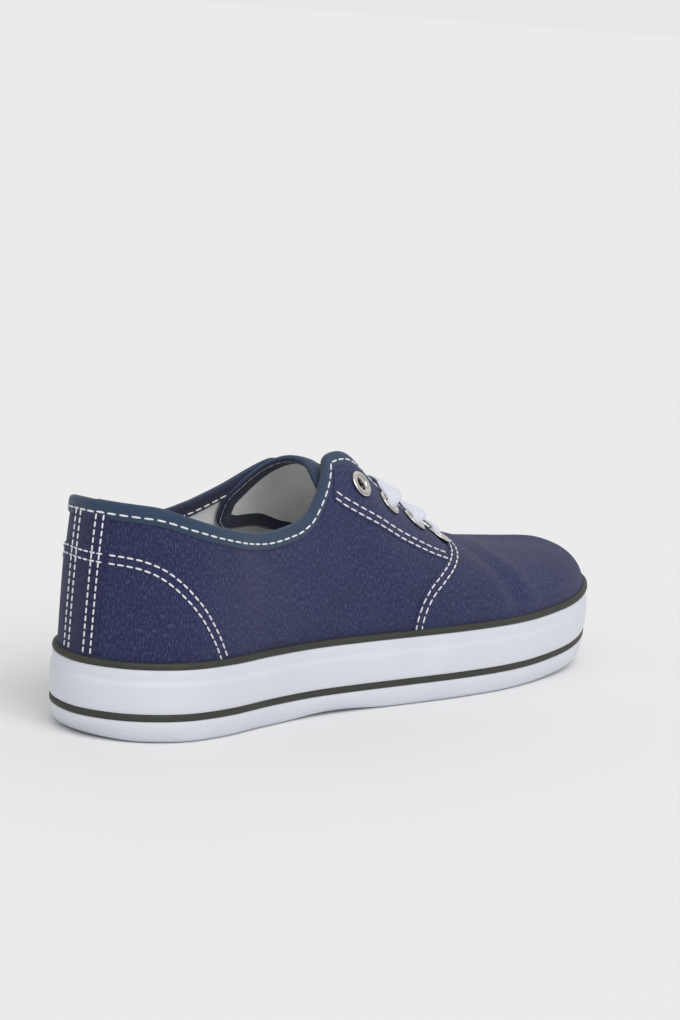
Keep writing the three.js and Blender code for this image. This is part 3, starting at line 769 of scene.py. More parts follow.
# Bright bleached cotton in thick soft braid.
LACE = plain_weave("white_cotton_lace_braided", "#BFC3D2", "#E9ECF6", "#FFFFFF", 0.75, 0.45, fleck=0.3)
# White thread, smoother than the lace, so that each stitch is a clean bright grain.
THREAD = plain_weave("white_polyester_thread_twisted", "#CFCFD6", "#F1F1F4", "#FFFFFF", 0.4, 0.3, fleck=0.2)
# Cool white with a satin sheen and soft edges, because a little light enters it.
WHITE_RUBBER = moulded_rubber("white_rubber_vulcanised", "#D5D8E1", "#D9DCE4", 0.48, depth=0.08)
# Olive black and duller than the white.
DARK_RUBBER = moulded_rubber("dark_rubber_vulcanised", "#2B2D26", "#34362C", 0.6)
# Bright warm silver.
NICKEL = rolled_metal("nickel_plated_steel_rolled", "#B9B4B0", "#E6E3E0")

# ---------------------------------------------------------------- canvas shell and lining

GRID_ALONG = 272
GRID_UP = 40
LAYER_MERGE = 0.15  # points of a skin nearer than this are one


def shell_spot(u, v):
    g = -TIP + u * TURN
    return g, SKIRT + (edge_angle(g) - SKIRT) * v


def make_shell():
    """Canvas and lining, each a closed skin from under the foxing to the edge."""
    for name, depth, thickness, material, slot, nodes in (
        ("canvas_upper", 0, CLOTH, CANVAS, "canvas", ["upper"]),
        ("quarter_lining", LINING_DEPTH, LINING_THICKNESS, LINING, "lining", []),
    ):
        piece = laid_grid(name, GRID_ALONG, GRID_UP, lambda u, v: wall_point(*shell_spot(u, v), -depth),
                          lambda u, v: wall_cloth(*shell_spot(u, v)))
        merge_doubles(piece, LAYER_MERGE)
        thicken(piece, thickness)
        finish(piece, material, slot, *nodes)


# ---------------------------------------------------------------- thin overlays


def curve_through(points, count):
    """Smooth curve through a few points, as count evenly numbered places."""
    points = [Vector(p) for p in points]
    ends = [points[0] * 2 - points[1], *points, points[-1] * 2 - points[-2]]
    out = []
    for k in range(count):
        t = k / (count - 1) * (len(points) - 1)
        i = min(int(t), len(points) - 2)
        w = t - i
        p0, p1, p2, p3 = ends[i : i + 4]
        out.append(0.5 * (2 * p1 + (p2 - p0) * w + (2 * p0 - 5 * p1 + 4 * p2 - p3) * w**2
                          + (3 * p1 - p0 - 3 * p2 + p3) * w**3))
    return out


def beside(points, k):
    """The points before and after the k-th."""
    return points[max(k - 1, 0)], points[min(k + 1, len(points) - 1)]


SLOPE_STEP = 0.02


def moved_line(line, amount, towards):
    """A line moved over the wall by amount in mm, square to itself and towards a direction."""
    out = []
    for k, here in enumerate(line):
        behind, ahead = beside(line, k)
        p, n = frame_of(canvas, *here)
        square = n.cross(canvas(*ahead) - canvas(*behind)).normalized()
        move = facing(square, towards) * amount
        g_way = (canvas(here[0] + SLOPE_STEP, here[1]) - p) / SLOPE_STEP
        a_way = (canvas(here[0], here[1] + SLOPE_STEP) - p) / SLOPE_STEP
        both = g_way.dot(a_way)
        step = Matrix(((g_way.dot(g_way), both), (both, a_way.dot(a_way)))).inverted()
        out.append(Vector(here[:2]) + step @ Vector((move.dot(g_way), move.dot(a_way))))
    return out


def at_share(line, t):
    k = t * (len(line) - 1)
    i = min(int(k), len(line) - 2)
    return line[i].lerp(line[i + 1], k - i)


OVERLAY_ROOT = 0.2  # how deep an overlay is set into the canvas under it


def overlay(name, low_line, high_line, rows, thickness=0.5):
    """A thin layer of canvas between two lines of (g, a) places."""
    def where(u, v):
        return at_share(low_line, u).lerp(at_share(high_line, u), v)

    piece = laid_grid(name, 40, rows, lambda u, v: wall_point(*where(u, v), thickness),
                      lambda u, v: wall_cloth(*where(u, v)))
    thicken(piece, thickness + OVERLAY_ROOT, 0.16)
    finish(piece, CANVAS, "canvas")


def strip_line(x, foot=STRIP_FOOT, count=40):
    """A line up the heel, x from the strip's middle, which leans a little."""
    line = []
    for k in range(count):
        t = k / (count - 1)
        line.append(Vector(on_heel(x - 3 + t, foot + (STRIP_TOP - foot) * t)))
    return line


def make_backstay():
    """The strip lies over both counters, and thins where it goes under the binding."""
    left, right = strip_line(-STRIP_HALF), strip_line(STRIP_HALF)

    def where(u, v):
        return at_share(left, v).lerp(at_share(right, v), u)

    piece = laid_grid("backstay_strip", 24, 40,
                      lambda u, v: wall_point(*where(u, v), 0.95 - 0.4 * smooth_step(v, 0.92, 1)),
                      lambda u, v: wall_cloth(*where(u, v)))
    thicken(piece, 1.1, 0.25)
    # The strip's canvas is coloured a touch darker as painted shade.
    finish(piece, STRIP_CANVAS_SHADED, "canvas")


def counter_edge(side):
    """The counter's upper edge, from under the strip to the foxing."""
    first = on_heel(side * 6 + STRIP_CENTRE, COUNTER_TOP)
    return curve_through([first] + [on_wall(y, z, side) for y, z in COUNTER_SEAM], 60)


def make_counters():
    for side, word in SIDES:
        edge = moved_line(counter_edge(side), COUNTER_MARGIN, UP)
        reach = edge[-1][0] - edge[0][0]
        foot = [Vector((edge[0][0] + reach * (k / (len(edge) - 1)) ** 1.2, -0.03)) for k in range(len(edge))]
        overlay(f"counter_{word}", foot[::side], edge[::side], 24)


# ---------------------------------------------------------------- binding


def edge_path():
    """g along the collar and throat, from the throat's base on the lateral side round the heel."""
    end = station_at(THROAT_BASE + 1.4)
    close = [end - 0.02, end - 0.06, end - 0.14, end - 0.26, end - 0.42]
    middle = np.linspace(-(end - 0.55), end - 0.55, 330).tolist()
    return [-g for g in close] + middle + close[::-1]


# Depth below the edge, and offset from the canvas, on the tape's face and reverse.
BIND = [(BINDING_HEIGHT, 0.0), (BINDING_HEIGHT, 0.6), (4.6, 0.85), (2.6, 1.0), (1.0, 1.0)]
BIND_INSIDE = [(1.0, -2.9), (2.6, -2.85), (4.6, -2.75), (BINDING_HEIGHT, -2.55), (BINDING_HEIGHT, -1.9)]
FOLD_ANGLES = (20, 55, 90, 125, 160)
FOLD_HALF_WIDTH = 1.95
FOLD_RISE = 1.25
FOLD_DROP = 0.25


def binding_section(g):
    """Points round the folded tape at one place of the edge."""
    points = [wall_point(g, below_edge(g, depth), offset) for depth, offset in BIND]
    top, out = frame_of(canvas, g, edge_angle(g) - 0.002)
    up = top - canvas(g, below_edge(g, 1.5))
    up = (up - out * up.dot(out)).normalized()
    middle = top - out * (WALL / 2)
    for angle in FOLD_ANGLES:
        t = math.radians(angle)
        points.append(middle + out * FOLD_HALF_WIDTH * math.cos(t) + up * (FOLD_RISE * math.sin(t) - FOLD_DROP))
    points += [wall_point(g, below_edge(g, depth), offset) for depth, offset in BIND_INSIDE]
    return points


TAPE_WIDTH = 15


def folded_tape(name, sections, middles):
    """A tape laid through sections, with a darker copy of the tape painted as shade on the second half of each.
    """
    piece = swept(name, sections, run_lengths(middles), TAPE_WIDTH)
    for material in (TAPE, TAPE_SHADED_COPY):
        piece.data.materials.append(material)
    columns, rows = len(sections) - 1, len(sections[0]) - 1
    for face in piece.data.polygons:
        # The second half of each section takes the darker copy: painted shade on the tape's inner side.
        face.material_index = int((face.index // columns + 0.5) / rows > 0.5)
    return piece


def make_binding():
    sections = [binding_section(g) for g in edge_path()]
    piece = folded_tape("collar_binding", sections, [points[len(BIND) + 2] for points in sections])
    soften(piece)
    finish(piece, TAPE, "canvas", smooth=80)


# ---------------------------------------------------------------- tongue

TONGUE_STEP = 0.04


@lru_cache(maxsize=None)
def reach_table(station, side):
    """Turns away from the crown and the length round the last to each."""
    turns = [QUARTER]
    while TONGUE_STEP < turns[-1] < math.pi - TONGUE_STEP:
        turns.append(turns[-1] - side * TONGUE_STEP)
    return turns, run_lengths([across_last(station, turn) for turn in turns])


def tongue_point(across, forward, offset):
    """Across runs from -1 (lateral edge) to 1, forward from 0 at the tip to 1 at the base."""
    tip = column(TONGUE_TIP, 1, across)
    y = tip + (TONGUE_BASE - tip) * forward
    station = round(station_at(y), 3)
    side = 1 if across > 0 else -1
    turns, lengths = reach_table(station, side)
    reach = column(TONGUE_WIDTH, 1 if side > 0 else 2, y) * abs(across)
    turn = float(np.interp(reach, lengths, turns))
    p, n = frame_of(across_last, station, turn)
    return p + facing(n, UP) * (offset - TONGUE_DROP)


def tongue_share(u):
    """Across for a grid's u, with columns closer together at the edges."""
    return math.sin((u - 0.5) * math.pi)


def make_tongue():
    for name, depth, thickness, material, slot, nodes in (
        ("tongue_canvas", 0, CLOTH, CANVAS, "canvas", ["tongue"]),
        ("tongue_lining", LINING_DEPTH, TONGUE_THICKNESS - LINING_DEPTH, LINING, "lining", []),
    ):
        piece = laid_grid(name, 40, 36, lambda u, v: tongue_point(tongue_share(u), v**1.3, -depth),
                          lambda u, v: (tongue_share(u) * 42, v * 70))
        if sum(face.normal.z for face in piece.data.polygons) < 0:
            piece.data.flip_normals()
        thicken(piece, thickness)
        finish(piece, material, slot, *nodes)
    make_tongue_binding()


# Section of the tongue's folded tape: reach in from the rim, and height over the tongue's middle.
TONGUE_TAPE = [
    (6.0, 1.25),
    (5.7, 1.5),
    (3.4, 1.65),
    (1.0, 1.6),
    (-0.3, 1.2),
    (-0.8, 0),
    (-0.3, -1.2),
    (1.0, -1.6),
    (3.4, -1.65),
    (5.7, -1.5),
    (6.0, -1.25),
]
TONGUE_TAPE_STEP = 1.2
RIM_SIDE = 60  # points down each side of the rim
RIM_TIP = 80  # and across its tip


def make_tongue_binding():
    """Tape folded round the tongue's rim, down both sides."""
    rim = [(-1, 0.9 - 0.9 * k / RIM_SIDE) for k in range(RIM_SIDE)]
    rim += [(tongue_share(k / RIM_TIP), 0.0) for k in range(RIM_TIP + 1)]
    rim += [(1, 0.9 * k / RIM_SIDE) for k in range(1, RIM_SIDE + 1)]
    kept = []
    for place in rim:
        p, q = tongue_point(*place, 0), tongue_point(*place, -TONGUE_THICKNESS)
        middle = (p + q) / 2
        if not kept or (middle - kept[-1][0]).length > TONGUE_TAPE_STEP:
            kept.append((middle, (p - q).normalized()))
    centre = tongue_point(0, 0.35, -TONGUE_THICKNESS / 2)
    sections, middles = [], [middle for middle, _ in kept]
    for k, (middle, normal) in enumerate(kept):
        behind, ahead = beside(middles, k)
        inward = facing(normal.cross(ahead - behind).normalized(), centre - middle)
        sections.append([middle + inward * reach + normal * height for reach, height in TONGUE_TAPE])
    piece = folded_tape("tongue_binding", sections, middles)
    face_out(piece)
    soften(piece)
    finish(piece, TAPE, "canvas", smooth=80)


# ---------------------------------------------------------------- stitches

THREAD_WIDTH = 0.72
THREAD_HEIGHT = 0.612
STITCH_SHARE = 0.76  # of the pitch that shows, before the thread goes down


def base_stitch():
    """One stitch as a plump grain, 1 long, shaped once and copied."""
    select()
    bpy.ops.mesh.primitive_uv_sphere_add(segments=8, ring_count=8, radius=0.5)
    grain = bpy.context.object
    edit_all(grain, bpy.ops.transform.rotate, value=QUARTER, orient_axis="Y", center_override=(0, 0, 0))
    spots = []
    for v in grain.data.vertices:  # fuller towards its ends than a sphere
        wide = math.hypot(v.co.y, v.co.z)
        grow = (wide / 0.5) ** -0.45 if wide > 0.01 else 1
        spots.append(Vector((v.co.x, v.co.y * grow, v.co.z * grow)))
    faces = [tuple(f.vertices) for f in grain.data.polygons]
    bpy.data.objects.remove(grain)
    return spots, faces


GRAIN, GRAIN_FACES = base_stitch()


def sew(name, rows):
    """Rows of stitches as one mesh. A row is (points with normals, pitch)."""
    verts, faces, flats = [], [], []
    for spots, pitch in rows:
        lengths = run_lengths([p for p, _ in spots])
        count = max(1, int(lengths[-1] / pitch))
        long = STITCH_SHARE * lengths[-1] / count
        for k in range(count):
            middle = (k + 0.5) * lengths[-1] / count
            i = min(max(1, int(np.searchsorted(lengths, middle))), len(spots) - 1)
            w = (middle - lengths[i - 1]) / max(1e-6, lengths[i] - lengths[i - 1])
            p = spots[i - 1][0].lerp(spots[i][0], w)
            n = spots[i - 1][1].lerp(spots[i][1], w).normalized()
            t = (spots[i][0] - spots[i - 1][0]).normalized()
            side = n.cross(t).normalized()
            start = len(verts)
            for c in GRAIN:
                verts.append(placed(p + t * c.x * long + side * c.y * THREAD_WIDTH + n * c.z * THREAD_HEIGHT))
                flats.append(((c.x * long + middle) * MM, c.y * THREAD_WIDTH * MM))
            faces += [tuple(start + j for j in face) for face in GRAIN_FACES]
    mesh = bpy.data.meshes.new(name)
    mesh.from_pydata(verts, [], faces)
    layer = mesh.uv_layers.new(name="UVMap").data
    for loop in mesh.loops:
        layer[loop.index].uv = flats[loop.vertex_index]
    piece = bpy.data.objects.new(name, mesh)
    bpy.context.scene.collection.objects.link(piece)
    finish(piece, THREAD, "lace", smooth=80)


def spots_of(line, offset):
    """Points with normals along a line of (g, a) places."""
    out = []
    for g, a in line:
        p, n = frame_of(canvas, g, a)
        out.append((p + n * (offset - crease(g, p)), n))
    return out


def beyond_strip(line):
    """The part of a line that the backstay strip doesn't cover."""
    out = []
    for spot in line:
        p = canvas(*spot)
        if abs(p.x - STRIP_CENTRE) > STRIP_HALF + 0.6 or p.y > 15:
            out.append(spot)
    return out


def binding_row(path, offset, face):
    spots = []
    for g in path:
        a = below_edge(g, BINDING_STITCH)
        spots.append((wall_point(g, a, offset), frame_of(canvas, g, a)[1] * face))
    return spots


ON_TAPE, ON_TAPE_INSIDE, ON_STRIP, ON_OVERLAY, ON_EYESTAY = 0.95, -3.0, 1.15, 0.7, 0.58  # heights of thread
COLLAR_PITCH, STRIP_PITCH, COUNTER_PITCH, EYESTAY_PITCH, VAMP_PITCH = 4.5, 2.7, 3.3, 4.2, 3.7
STRIP_STITCH_FOOT = 30.5


def make_stitching():
    path = edge_path()
    inside = [g for g in path if section(g)[0].y < THROAT_TOP - 8]
    sew("stitches_binding", [(binding_row(path, ON_TAPE, 1), COLLAR_PITCH),
                             (binding_row(inside, ON_TAPE_INSIDE, -1), COLLAR_PITCH)])
    lines = [strip_line(x, STRIP_STITCH_FOOT)[:-1] for x in STRIP_ROWS]
    sew("stitches_backstay", [(spots_of(line, ON_STRIP), STRIP_PITCH) for line in lines])
    rows = []
    for amount in (0.0, -ROW_GAP):
        for side, _ in SIDES:
            edge = moved_line(counter_edge(side), amount, UP)
            rows.append((spots_of(beyond_strip(edge), ON_OVERLAY), COUNTER_PITCH))
        over = [Vector(on_heel(x + STRIP_CENTRE, COUNTER_TOP + amount)) for x in np.linspace(-8.5, 8.5, 18)]
        rows.append((spots_of(over, ON_STRIP), STRIP_PITCH))
    sew("stitches_counter", rows)
    rows = []
    for side, _ in SIDES:
        stay = eyestay_line(side)
        for line in (stay, moved_line(stay, ROW_GAP, UP)):
            rows.append((spots_of(line, ON_EYESTAY), EYESTAY_PITCH))
    sew("stitches_eyestay", rows)
    lines = [forward_line(VAMP_EDGE, amount) for amount in (VAMP_MARGIN, VAMP_MARGIN + ROW_GAP)]
    sew("stitches_vamp", [(spots_of(line, ON_OVERLAY), VAMP_PITCH) for line in lines])


# ---------------------------------------------------------------- eyestay and vamp


def eyestay_line(side):
    """The eyestay's seam, from the collar down to the vamp seam, alongside the throat."""
    drop = 0 if side > 0 else LATERAL_STAY_DROP
    return curve_through([on_wall(y, z - drop, side) for y, z in EYESTAY_SEAM], 50)


# The medial half of the vamp's rear edge, from the foxing to the throat's base.
VAMP_EDGE = curve_through([on_wall(y, z, 1) for y, z in VAMP_SEAM] + [(station_at(193.5), QUARTER - 0.04)], 50)


def forward_line(line, amount):
    """Both halves of the vamp's edge moved towards the toe."""
    half = [h for h in moved_line(line, amount, TOEWARDS) if h[1] < QUARTER - 0.03]
    return half + [Vector((-h[0], h[1])) for h in half[::-1]]


def make_vamp():
    places, angles = zip(*VAMP_EDGE)
    foot = -0.05

    def where(u, v):
        a = foot + (QUARTER - foot) * v
        start = float(np.interp(a, angles, places))
        return start + (TURN - 2 * start) * u, a

    piece = laid_grid("vamp_canvas", 150, 44, lambda u, v: wall_point(*where(u, v), 0.5),
                      lambda u, v: wall_cloth(*where(u, v)))
    merge_doubles(piece, LAYER_MERGE)
    thicken(piece, 0.6, 0.14)
    finish(piece, CANVAS, "canvas")


def make_eyestays():
    for side, word in SIDES:
        seam = moved_line(eyestay_line(side), -1.0, UP)
        places = [side * station_at(y) for y in np.linspace(119, 182, len(seam))]
        edge = [Vector((g, below_edge(g, 2.0))) for g in places]
        overlay(f"eyestay_{word}", seam[::side], edge[::side], 20, 0.4)


# ---------------------------------------------------------------- eyelets

@lru_cache(maxsize=None)
def eyelet_place(row, side):
    y, from_edge = EYELETS[row]
    station = station_at(y)
    g = side * station
    a = below_edge(g, from_edge)
    p, n = frame_of(canvas, g, a)
    return station, (a if side > 0 else math.pi - a), p, n


# Radius and height over the canvas, round the eyelet's section.
EYELET_SECTION = [
    (2.3, -2.05),
    (2.35, 0.55),
    (2.75, 1.35),
    (3.8, 1.7),
    (4.8, 1.6),
    (5.5, 1.15),
    (5.4, 0.8),
    (4.6, 0.75),
    (2.9, 0.65),
    (2.7, -2.05),
]


def make_eyelets():
    """A flange rolled outwards over a barrel, spun round each hole."""
    for side, word in SIDES:
        for row in range(len(EYELETS)):
            _, _, p, n = eyelet_place(row, side)
            turn = UP.rotation_difference(n)

            def place(u, v):
                r, h = EYELET_SECTION[round(v * len(EYELET_SECTION)) % len(EYELET_SECTION)]
                t = 2 * math.pi * u
                return p + turn @ Vector((r * math.cos(t), r * math.sin(t), h))

            piece = laid_grid(f"rolled_eyelet_{word}_{row + 1}", 32, len(EYELET_SECTION), place)
            merge_doubles(piece)
            face_out(piece)
            soften(piece, 2)
            finish(piece, NICKEL, "eyelet", f"eyelet_{word}_{row + 1}", smooth=80)


def make_holes(piece_names):
    """Punches the eyelet holes through the canvas layers."""
    punches = []
    for side, _ in SIDES:
        for row in range(len(EYELETS)):
            _, _, p, n = eyelet_place(row, side)
            bpy.ops.mesh.primitive_cylinder_add(vertices=24, radius=HOLE_RADIUS * MM, depth=16 * MM)
            turn = UP.rotation_difference(n).to_matrix().to_4x4()
            bpy.context.object.data.transform(Matrix.Translation(placed(p)) @ turn)
            punches.append(bpy.context.object)
    cut_out([bpy.data.objects[name] for name in piece_names], punches)


# ---------------------------------------------------------------- laces

LACE_SIDES = 14  # faces round the lace
LACE_GIRTH = 20
LACE_BULGE = 0.9  # a lace squeezed narrow is this much thicker
LACE_ROUNDNESS = 0.55
OVER_EYELET = 2.1  # height of the lace's middle over the canvas
HIDDEN_ANGLE = 0.1  # how far a crossing goes on under the opposite flap


def lace(name, centres, nodes=()):
    """A flat braided lace: centres are (point, normal, width share)."""
    sections, points = [], [p for p, _, _ in centres]
    for k, (p, n, share) in enumerate(centres):
        behind, ahead = beside(points, k)
        t = (ahead - behind).normalized()
        across = n.cross(t).normalized()
        up = t.cross(across).normalized() * (LACE_HALF_THICKNESS + LACE_BULGE * (1 - share))
        half = across * LACE_WIDTH / 2 * share
        ring = []
        for j in range(LACE_SIDES):
            angle = 2 * math.pi * j / LACE_SIDES
            c, s = math.cos(angle), math.sin(angle)
            ring.append(p + half * math.copysign(abs(c) ** LACE_ROUNDNESS, c) + up * s)
        sections.append(ring)
    piece = swept(name, sections, run_lengths(points), LACE_GIRTH, closed=True)
    merge_doubles(piece)
    select(piece)
    bpy.ops.object.mode_set(mode="EDIT")
    bpy.ops.mesh.select_all(action="DESELECT")
    bpy.ops.mesh.select_non_manifold()
    bpy.ops.mesh.fill_holes(sides=0)
    face_out(piece)
    soften(piece)
    finish(piece, LACE, "lace", *nodes, smooth=80)


def out_of_eyelet(row, side, drop, bends):
    """The lace's way out of an eyelet. A bend is (height, drop, normal's lean, share of the width)."""
    _, turn, p, n = eyelet_place(row, side)
    g = side * station_at(EYELETS[row][0])
    up = (canvas(g, edge_angle(g)) - p).normalized()
    first = (p - n * 3.2 - up * drop, n * 0.2 - up, 0.5)
    return turn, [first] + [(p + n * h - up * d, n * lean - up, share) for h, d, lean, share in bends]


def crossing_path(row, side, hump):
    """From inside an eyelet, out and over the flap's edge, across, and down under the opposite edge."""
    turn, out = out_of_eyelet(row, side, 1.2, [(-0.4, 1.3, 0.4, 0.55), (2.0, 0.9, 1.667, 0.72)])
    y, end_y = EYELETS[row][0], EYELETS[row + 1][0] + 1
    end_turn = edge_angle(-side * station_at(end_y)) - HIDDEN_ANGLE
    if side > 0:
        end_turn = math.pi - end_turn
    steps = 44
    for k in range(2, steps + 1):
        t = k / steps
        station = station_at(y + (end_y - y) * t**0.85)
        angle = turn + (end_turn - turn) * t
        q, m = frame_of(bridge, station, angle)
        low, low_n = frame_of(across_last, station, angle)
        m = facing(m, UP)
        twist = 1 - smooth_step(t, 0.1, 0.4)
        crossed = hump * (1 - smooth_step(abs(t - 0.5), 0.12, 0.36))
        over = OVER_EYELET + 0.5 * math.sin(math.pi * min(1, t / 0.5)) + 1.1 * twist + crossed
        q = (q + m * over).lerp(low + low_n * (crossed + 0.95 - TONGUE_DROP), smooth_step(t, 0.32, 0.92))
        m = (m - TOEWARDS * 0.55 * twist).normalized()
        out.append((q, m, 0.8 + 0.2 * smooth_step(t, 0.0, 0.14)))
    return out


def bar_path(row):
    """Straight across between the two lowest eyelets, with both ends down their holes."""
    bend = [(-1.0, 0, 0.4, 0.52)]
    medial_turn, out = out_of_eyelet(row, 1, 0.4, bend)
    lateral_turn, back = out_of_eyelet(row, -1, 0.4, bend)
    station = eyelet_place(row, 1)[0]
    steps = 36
    for k in range(2, steps - 1):
        t = k / steps
        c, normal = frame_of(bridge, station, medial_turn + (lateral_turn - medial_turn) * t)
        normal = facing(normal, UP)
        over = OVER_EYELET + 0.1 + 0.9 * math.sin(math.pi * t)
        out.append((c + normal * over, normal, 0.6 + 0.4 * smooth_step(min(t, 1 - t), 0.02, 0.2)))
    return out + back[::-1]


def make_laces():
    """The medial lace of each crossing lies on top."""
    over, under = 1.0, -0.7
    for row, node in ((1, "lace_cross_upper"), (2, "lace_cross_lower")):
        lace(f"lace_over_{row + 1}", crossing_path(row, 1, over), [node])
        lace(f"lace_under_{row + 1}", crossing_path(row, -1, under))
    lace("lace_bottom_bar", bar_path(3), ["lace_bar"])


# ---------------------------------------------------------------- sole

AROUND = 272
WAIST_START, WAIST_END = 78, 140
LUG_PITCH, LUG_GROOVE, LUG_DEPTH, LUG_BORDER = 8, 2.6, 2.8, 9
FIRST_GROOVE, LAST_GROOVE, SHORTEST_GROOVE = 20, SOLE_LENGTH - 16, 12


def make_band(name, profile, material, slot, node):
    """A closed band round the outline. profile is a list of (inset, height)."""
    def place(u, v):
        inset, height = profile[round(v * len(profile)) % len(profile)]
        p = outline(u * TURN, inset)
        return Vector((p.x, p.y, height + toe_lift(p.y)))

    piece = laid_grid(name, AROUND, len(profile), place)
    merge_doubles(piece)
    face_out(piece)
    round_edges(piece, 0.25)
    apply_modifiers(piece)
    finish(piece, material, slot, node, smooth=60)


def ground_inset(y):
    return 3.6 + 2.4 * max(0, 1 - y / 30)


def ground_height(y):
    """The underside: worn up at the heel, arched at the waist and sprung at the toe."""
    heel = max(0, 1 - y / 14)
    waist = min(1, max(0, (y - WAIST_START) / (WAIST_END - WAIST_START)))
    return toe_lift(y) + 2.2 * heel * heel + 1.3 * math.sin(math.pi * waist) ** 2


# Levels of the outsole's side: share of the ground's inset, plain inset, share of its height, plain height.
OUTSOLE_SIDE = [
    (1, 0, 1, 0),
    (0.62, 0, 1, 0.7),
    (0.36, 0, 1, 2.2),
    (0, 0.75, 0, 5.0),
    (0, 0.35, 0, 7.4),
    (0, 0.6, 0, OUTSOLE_TOP),
]


def make_outsole():
    """Side wall rolled under at the ground, a ladder of faces below and above, and lugs cut across."""
    def side(u, v):
        share, inset, follow, height = OUTSOLE_SIDE[round(v * (len(OUTSOLE_SIDE) - 1))]
        p = outline(u * TURN, inset + share * ground_inset(outline(u * TURN, 0).y))
        floor = ground_height(p.y) if follow else toe_lift(p.y)
        return Vector((p.x, p.y, floor + height))

    def ladder(level):
        def place(u, v):
            g = v * TIP
            p = side((TURN - g) / TURN, level).lerp(side(g / TURN, level), u)
            if level == 0:
                p.z = ground_height(p.y)
            return p
        return place

    wall = laid_grid("outsole_tread", AROUND, len(OUTSOLE_SIDE) - 1, side)
    bottom = laid_grid("bottom", 24, AROUND // 2, ladder(0))
    top = laid_grid("top", 24, AROUND // 2, ladder(1))
    select(wall, bottom, top)
    bpy.ops.object.join()
    merge_doubles(wall, 0.03)
    face_out(wall)
    cut_lugs(wall)
    finish(wall, WHITE_RUBBER, "rubber_white", "outsole", smooth=45)


def cut_lugs(sole):
    """Grooves across the heel and forefoot, none at the waist."""
    grooves = []
    for y in range(FIRST_GROOVE, LAST_GROOVE, LUG_PITCH):
        g = station_at(y)
        left, right = outline(-g, 0).x + LUG_BORDER, outline(g, 0).x - LUG_BORDER
        if WAIST_START < y < WAIST_END or right - left <= SHORTEST_GROOVE:
            continue
        bpy.ops.mesh.primitive_cube_add(size=1)
        size = Matrix.Diagonal(((right - left) * MM, LUG_GROOVE * MM, LUG_DEPTH * MM, 1))
        centre = placed(((left + right) / 2, y, ground_height(y)))
        bpy.context.object.data.transform(Matrix.Translation(centre) @ size)
        grooves.append(bpy.context.object)
    cut_out([sole], grooves)


def make_bands():
    """Stripe, foxing and piping. The foxing has a faint step under its upper rim."""
    low = OUTSOLE_TOP + 0.1
    section = [(2.2, low), (0.3, low), (0.2, low + 1.2), (0.3, low + 2.5), (2.2, low + 2.5)]
    make_band("stripe_band_lower", section, DARK_RUBBER, "rubber_stripe", "stripe_lower")
    low, high = OUTSOLE_TOP + STRIPE_HEIGHT, FOXING_TOP + 0.3
    section = [(2.1, low), (0.35, low), (0.02, low + 1.5), (-0.1, 17), (-0.1, 20.5), (-0.05, 22.3),
               (0.4, 22.8), (0.4, 23.6), (0.4, 25.5), (0.6, high), (2.1, high)]
    make_band("foxing_band", section, WHITE_RUBBER, "rubber_white", "foxing")
    low, high = FOXING_TOP + 0.4, PIPING_TOP - 0.3
    section = [(2.1, low), (0.4, low), (0.15, 28.2), (0.3, 29.2), (1.0, high + 0.1), (2.4, high)]
    make_band("stripe_band_upper", section, DARK_RUBBER, "rubber_stripe", "stripe_upper")


def make_footbed():
    """Insole: a dished sheet from wall to wall, softly raised at its rim."""
    top = CUP_FLOOR + GAP + INSOLE_THICKNESS
    rim = FOXING_WALL + GAP + WALL + 0.4

    def place(u, v):
        g = 0.02 + v * (TIP - 0.04)
        a, b = outline(-g, rim), outline(g, rim)
        p = a.lerp(b, u)
        edge = min(u, 1 - u) * (b - a).length
        return Vector((p.x, p.y, top - 0.9 * smooth_step(edge, 1.5, 10) + toe_lift(p.y)))

    piece = laid_grid("footbed", 40, 130, place, lambda u, v: (u * 80, v * 280))
    thicken(piece, 3.4)
    finish(piece, LINING, "lining", "insole")


# ---------------------------------------------------------------- camera, floor and light

# Where the camera stands, from the back of the heel and the floor.
CAMERA_AT = (711.8, -769.8, 262.7)
CAMERA_HEADING = 42.9
CAMERA_PITCH = 6.78
CAMERA_ROLL = 3.6
CAMERA_LENS = 105.9
AIM_AT = (0.0, 0.0, 0.07)
FLOOR_SIZE = 900
AMBIENT = 0.48


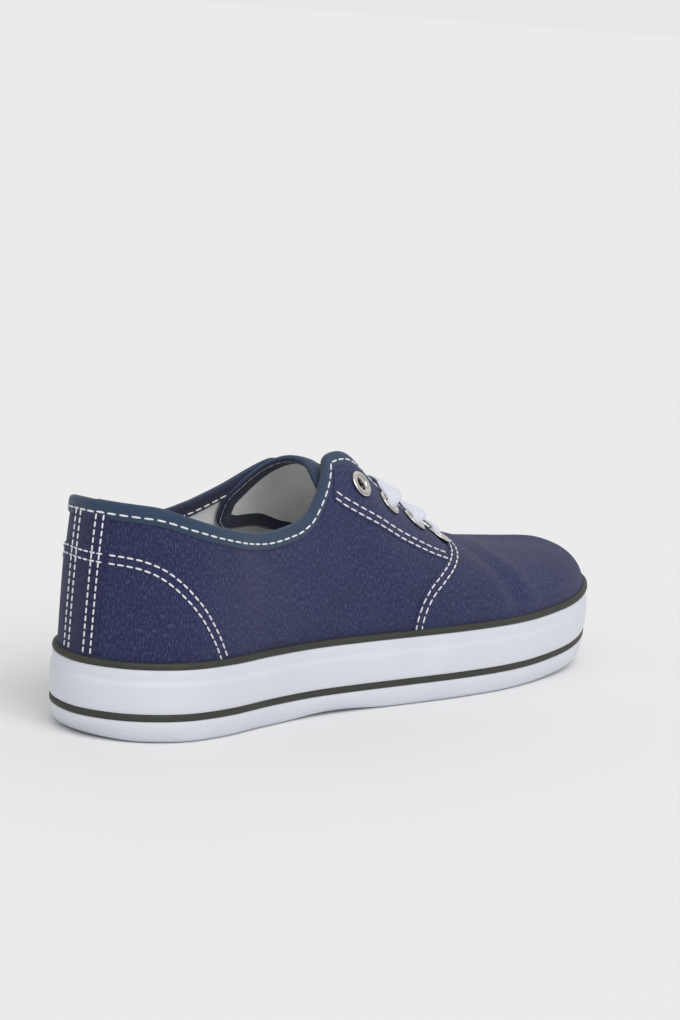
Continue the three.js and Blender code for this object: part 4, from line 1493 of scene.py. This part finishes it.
def make_camera():
    data = bpy.data.cameras.new("camera")
    data.lens = CAMERA_LENS
    data.sensor_width = 36
    data.clip_end = 2000
    camera = bpy.data.objects.new("camera", data)
    bpy.context.scene.collection.objects.link(camera)
    bpy.context.scene.camera = camera
    heading, pitch, roll = (math.radians(d) for d in (CAMERA_HEADING, CAMERA_PITCH, CAMERA_ROLL))
    level = Vector((-math.sin(heading), math.cos(heading), 0))
    forward = level * math.cos(pitch) - Vector((0, 0, math.sin(pitch)))
    right = Vector((math.cos(heading), math.sin(heading), 0))
    up = right.cross(forward)
    x = right * math.cos(roll) + up * math.sin(roll)
    y = up * math.cos(roll) - right * math.sin(roll)
    at = placed(CAMERA_AT)
    swing = forward.rotation_difference((Vector(AIM_AT) - at).normalized())
    turned = Matrix((swing @ x, swing @ y, swing @ -forward)).transposed().to_4x4()
    camera.matrix_world = Matrix.Translation(at) @ turned


def make_stage():
    """A pale floor, and an even light from all round that the camera sees as a backdrop."""
    bpy.ops.mesh.primitive_plane_add(size=1)
    floor = bpy.context.object
    floor.name = "floor"
    floor.data.transform(Matrix.Diagonal((FLOOR_SIZE, FLOOR_SIZE, 1, 1)))
    material, tree, shader, _, _ = new_material("pale_paper_floor")
    connect(tree, shader, {"Base Color": linear("#ECECEC"), "Roughness": 0.9})
    floor.data.materials.append(material)
    world = bpy.data.worlds.new("studio")
    world.use_nodes = True
    tree = world.node_tree
    lit = tree.nodes["Background"]
    connect(tree, lit, {"Color": linear("#FFFFFF"), "Strength": AMBIENT})
    backdrop = add(tree, "Background", {"Color": linear("#E8E8E8")})
    seen = add(tree, "LightPath")["Is Camera Ray"]
    either = add(tree, "MixShader", {0: seen, 1: lit.outputs[0], 2: backdrop[0]})
    connect(tree, tree.nodes["World Output"], {0: either[0]})
    bpy.context.scene.world = world


def soft_light(name, towards, angle, strength):
    """A distant lamp as wide as a studio softbox, so that it lights the whole floor evenly."""
    data = bpy.data.lights.new(name, "SUN")
    data.angle = math.radians(angle)
    data.energy = strength
    lamp = bpy.data.objects.new(name, data)
    lamp.rotation_euler = (-Vector(towards)).to_track_quat("-Z", "Y").to_euler()
    bpy.context.scene.collection.objects.link(lamp)


make_camera()
make_stage()
soft_light("key", (1.3, -0.45, 1.5), 50, 1.6)
soft_light("fill", (-0.5, -1.0, 1.2), 80, 0.3)
soft_light("back", (-0.4, 1.2, 1.0), 70, 0.35)
bpy.context.scene.view_settings.view_transform = "Standard"

make_outsole()
make_bands()
make_footbed()
make_shell()
make_vamp()
make_eyestays()
make_counters()
make_backstay()
make_holes(["canvas_upper", "quarter_lining", "eyestay_medial", "eyestay_lateral"])
make_binding()
make_tongue()
make_eyelets()
make_laces()
make_stitching()
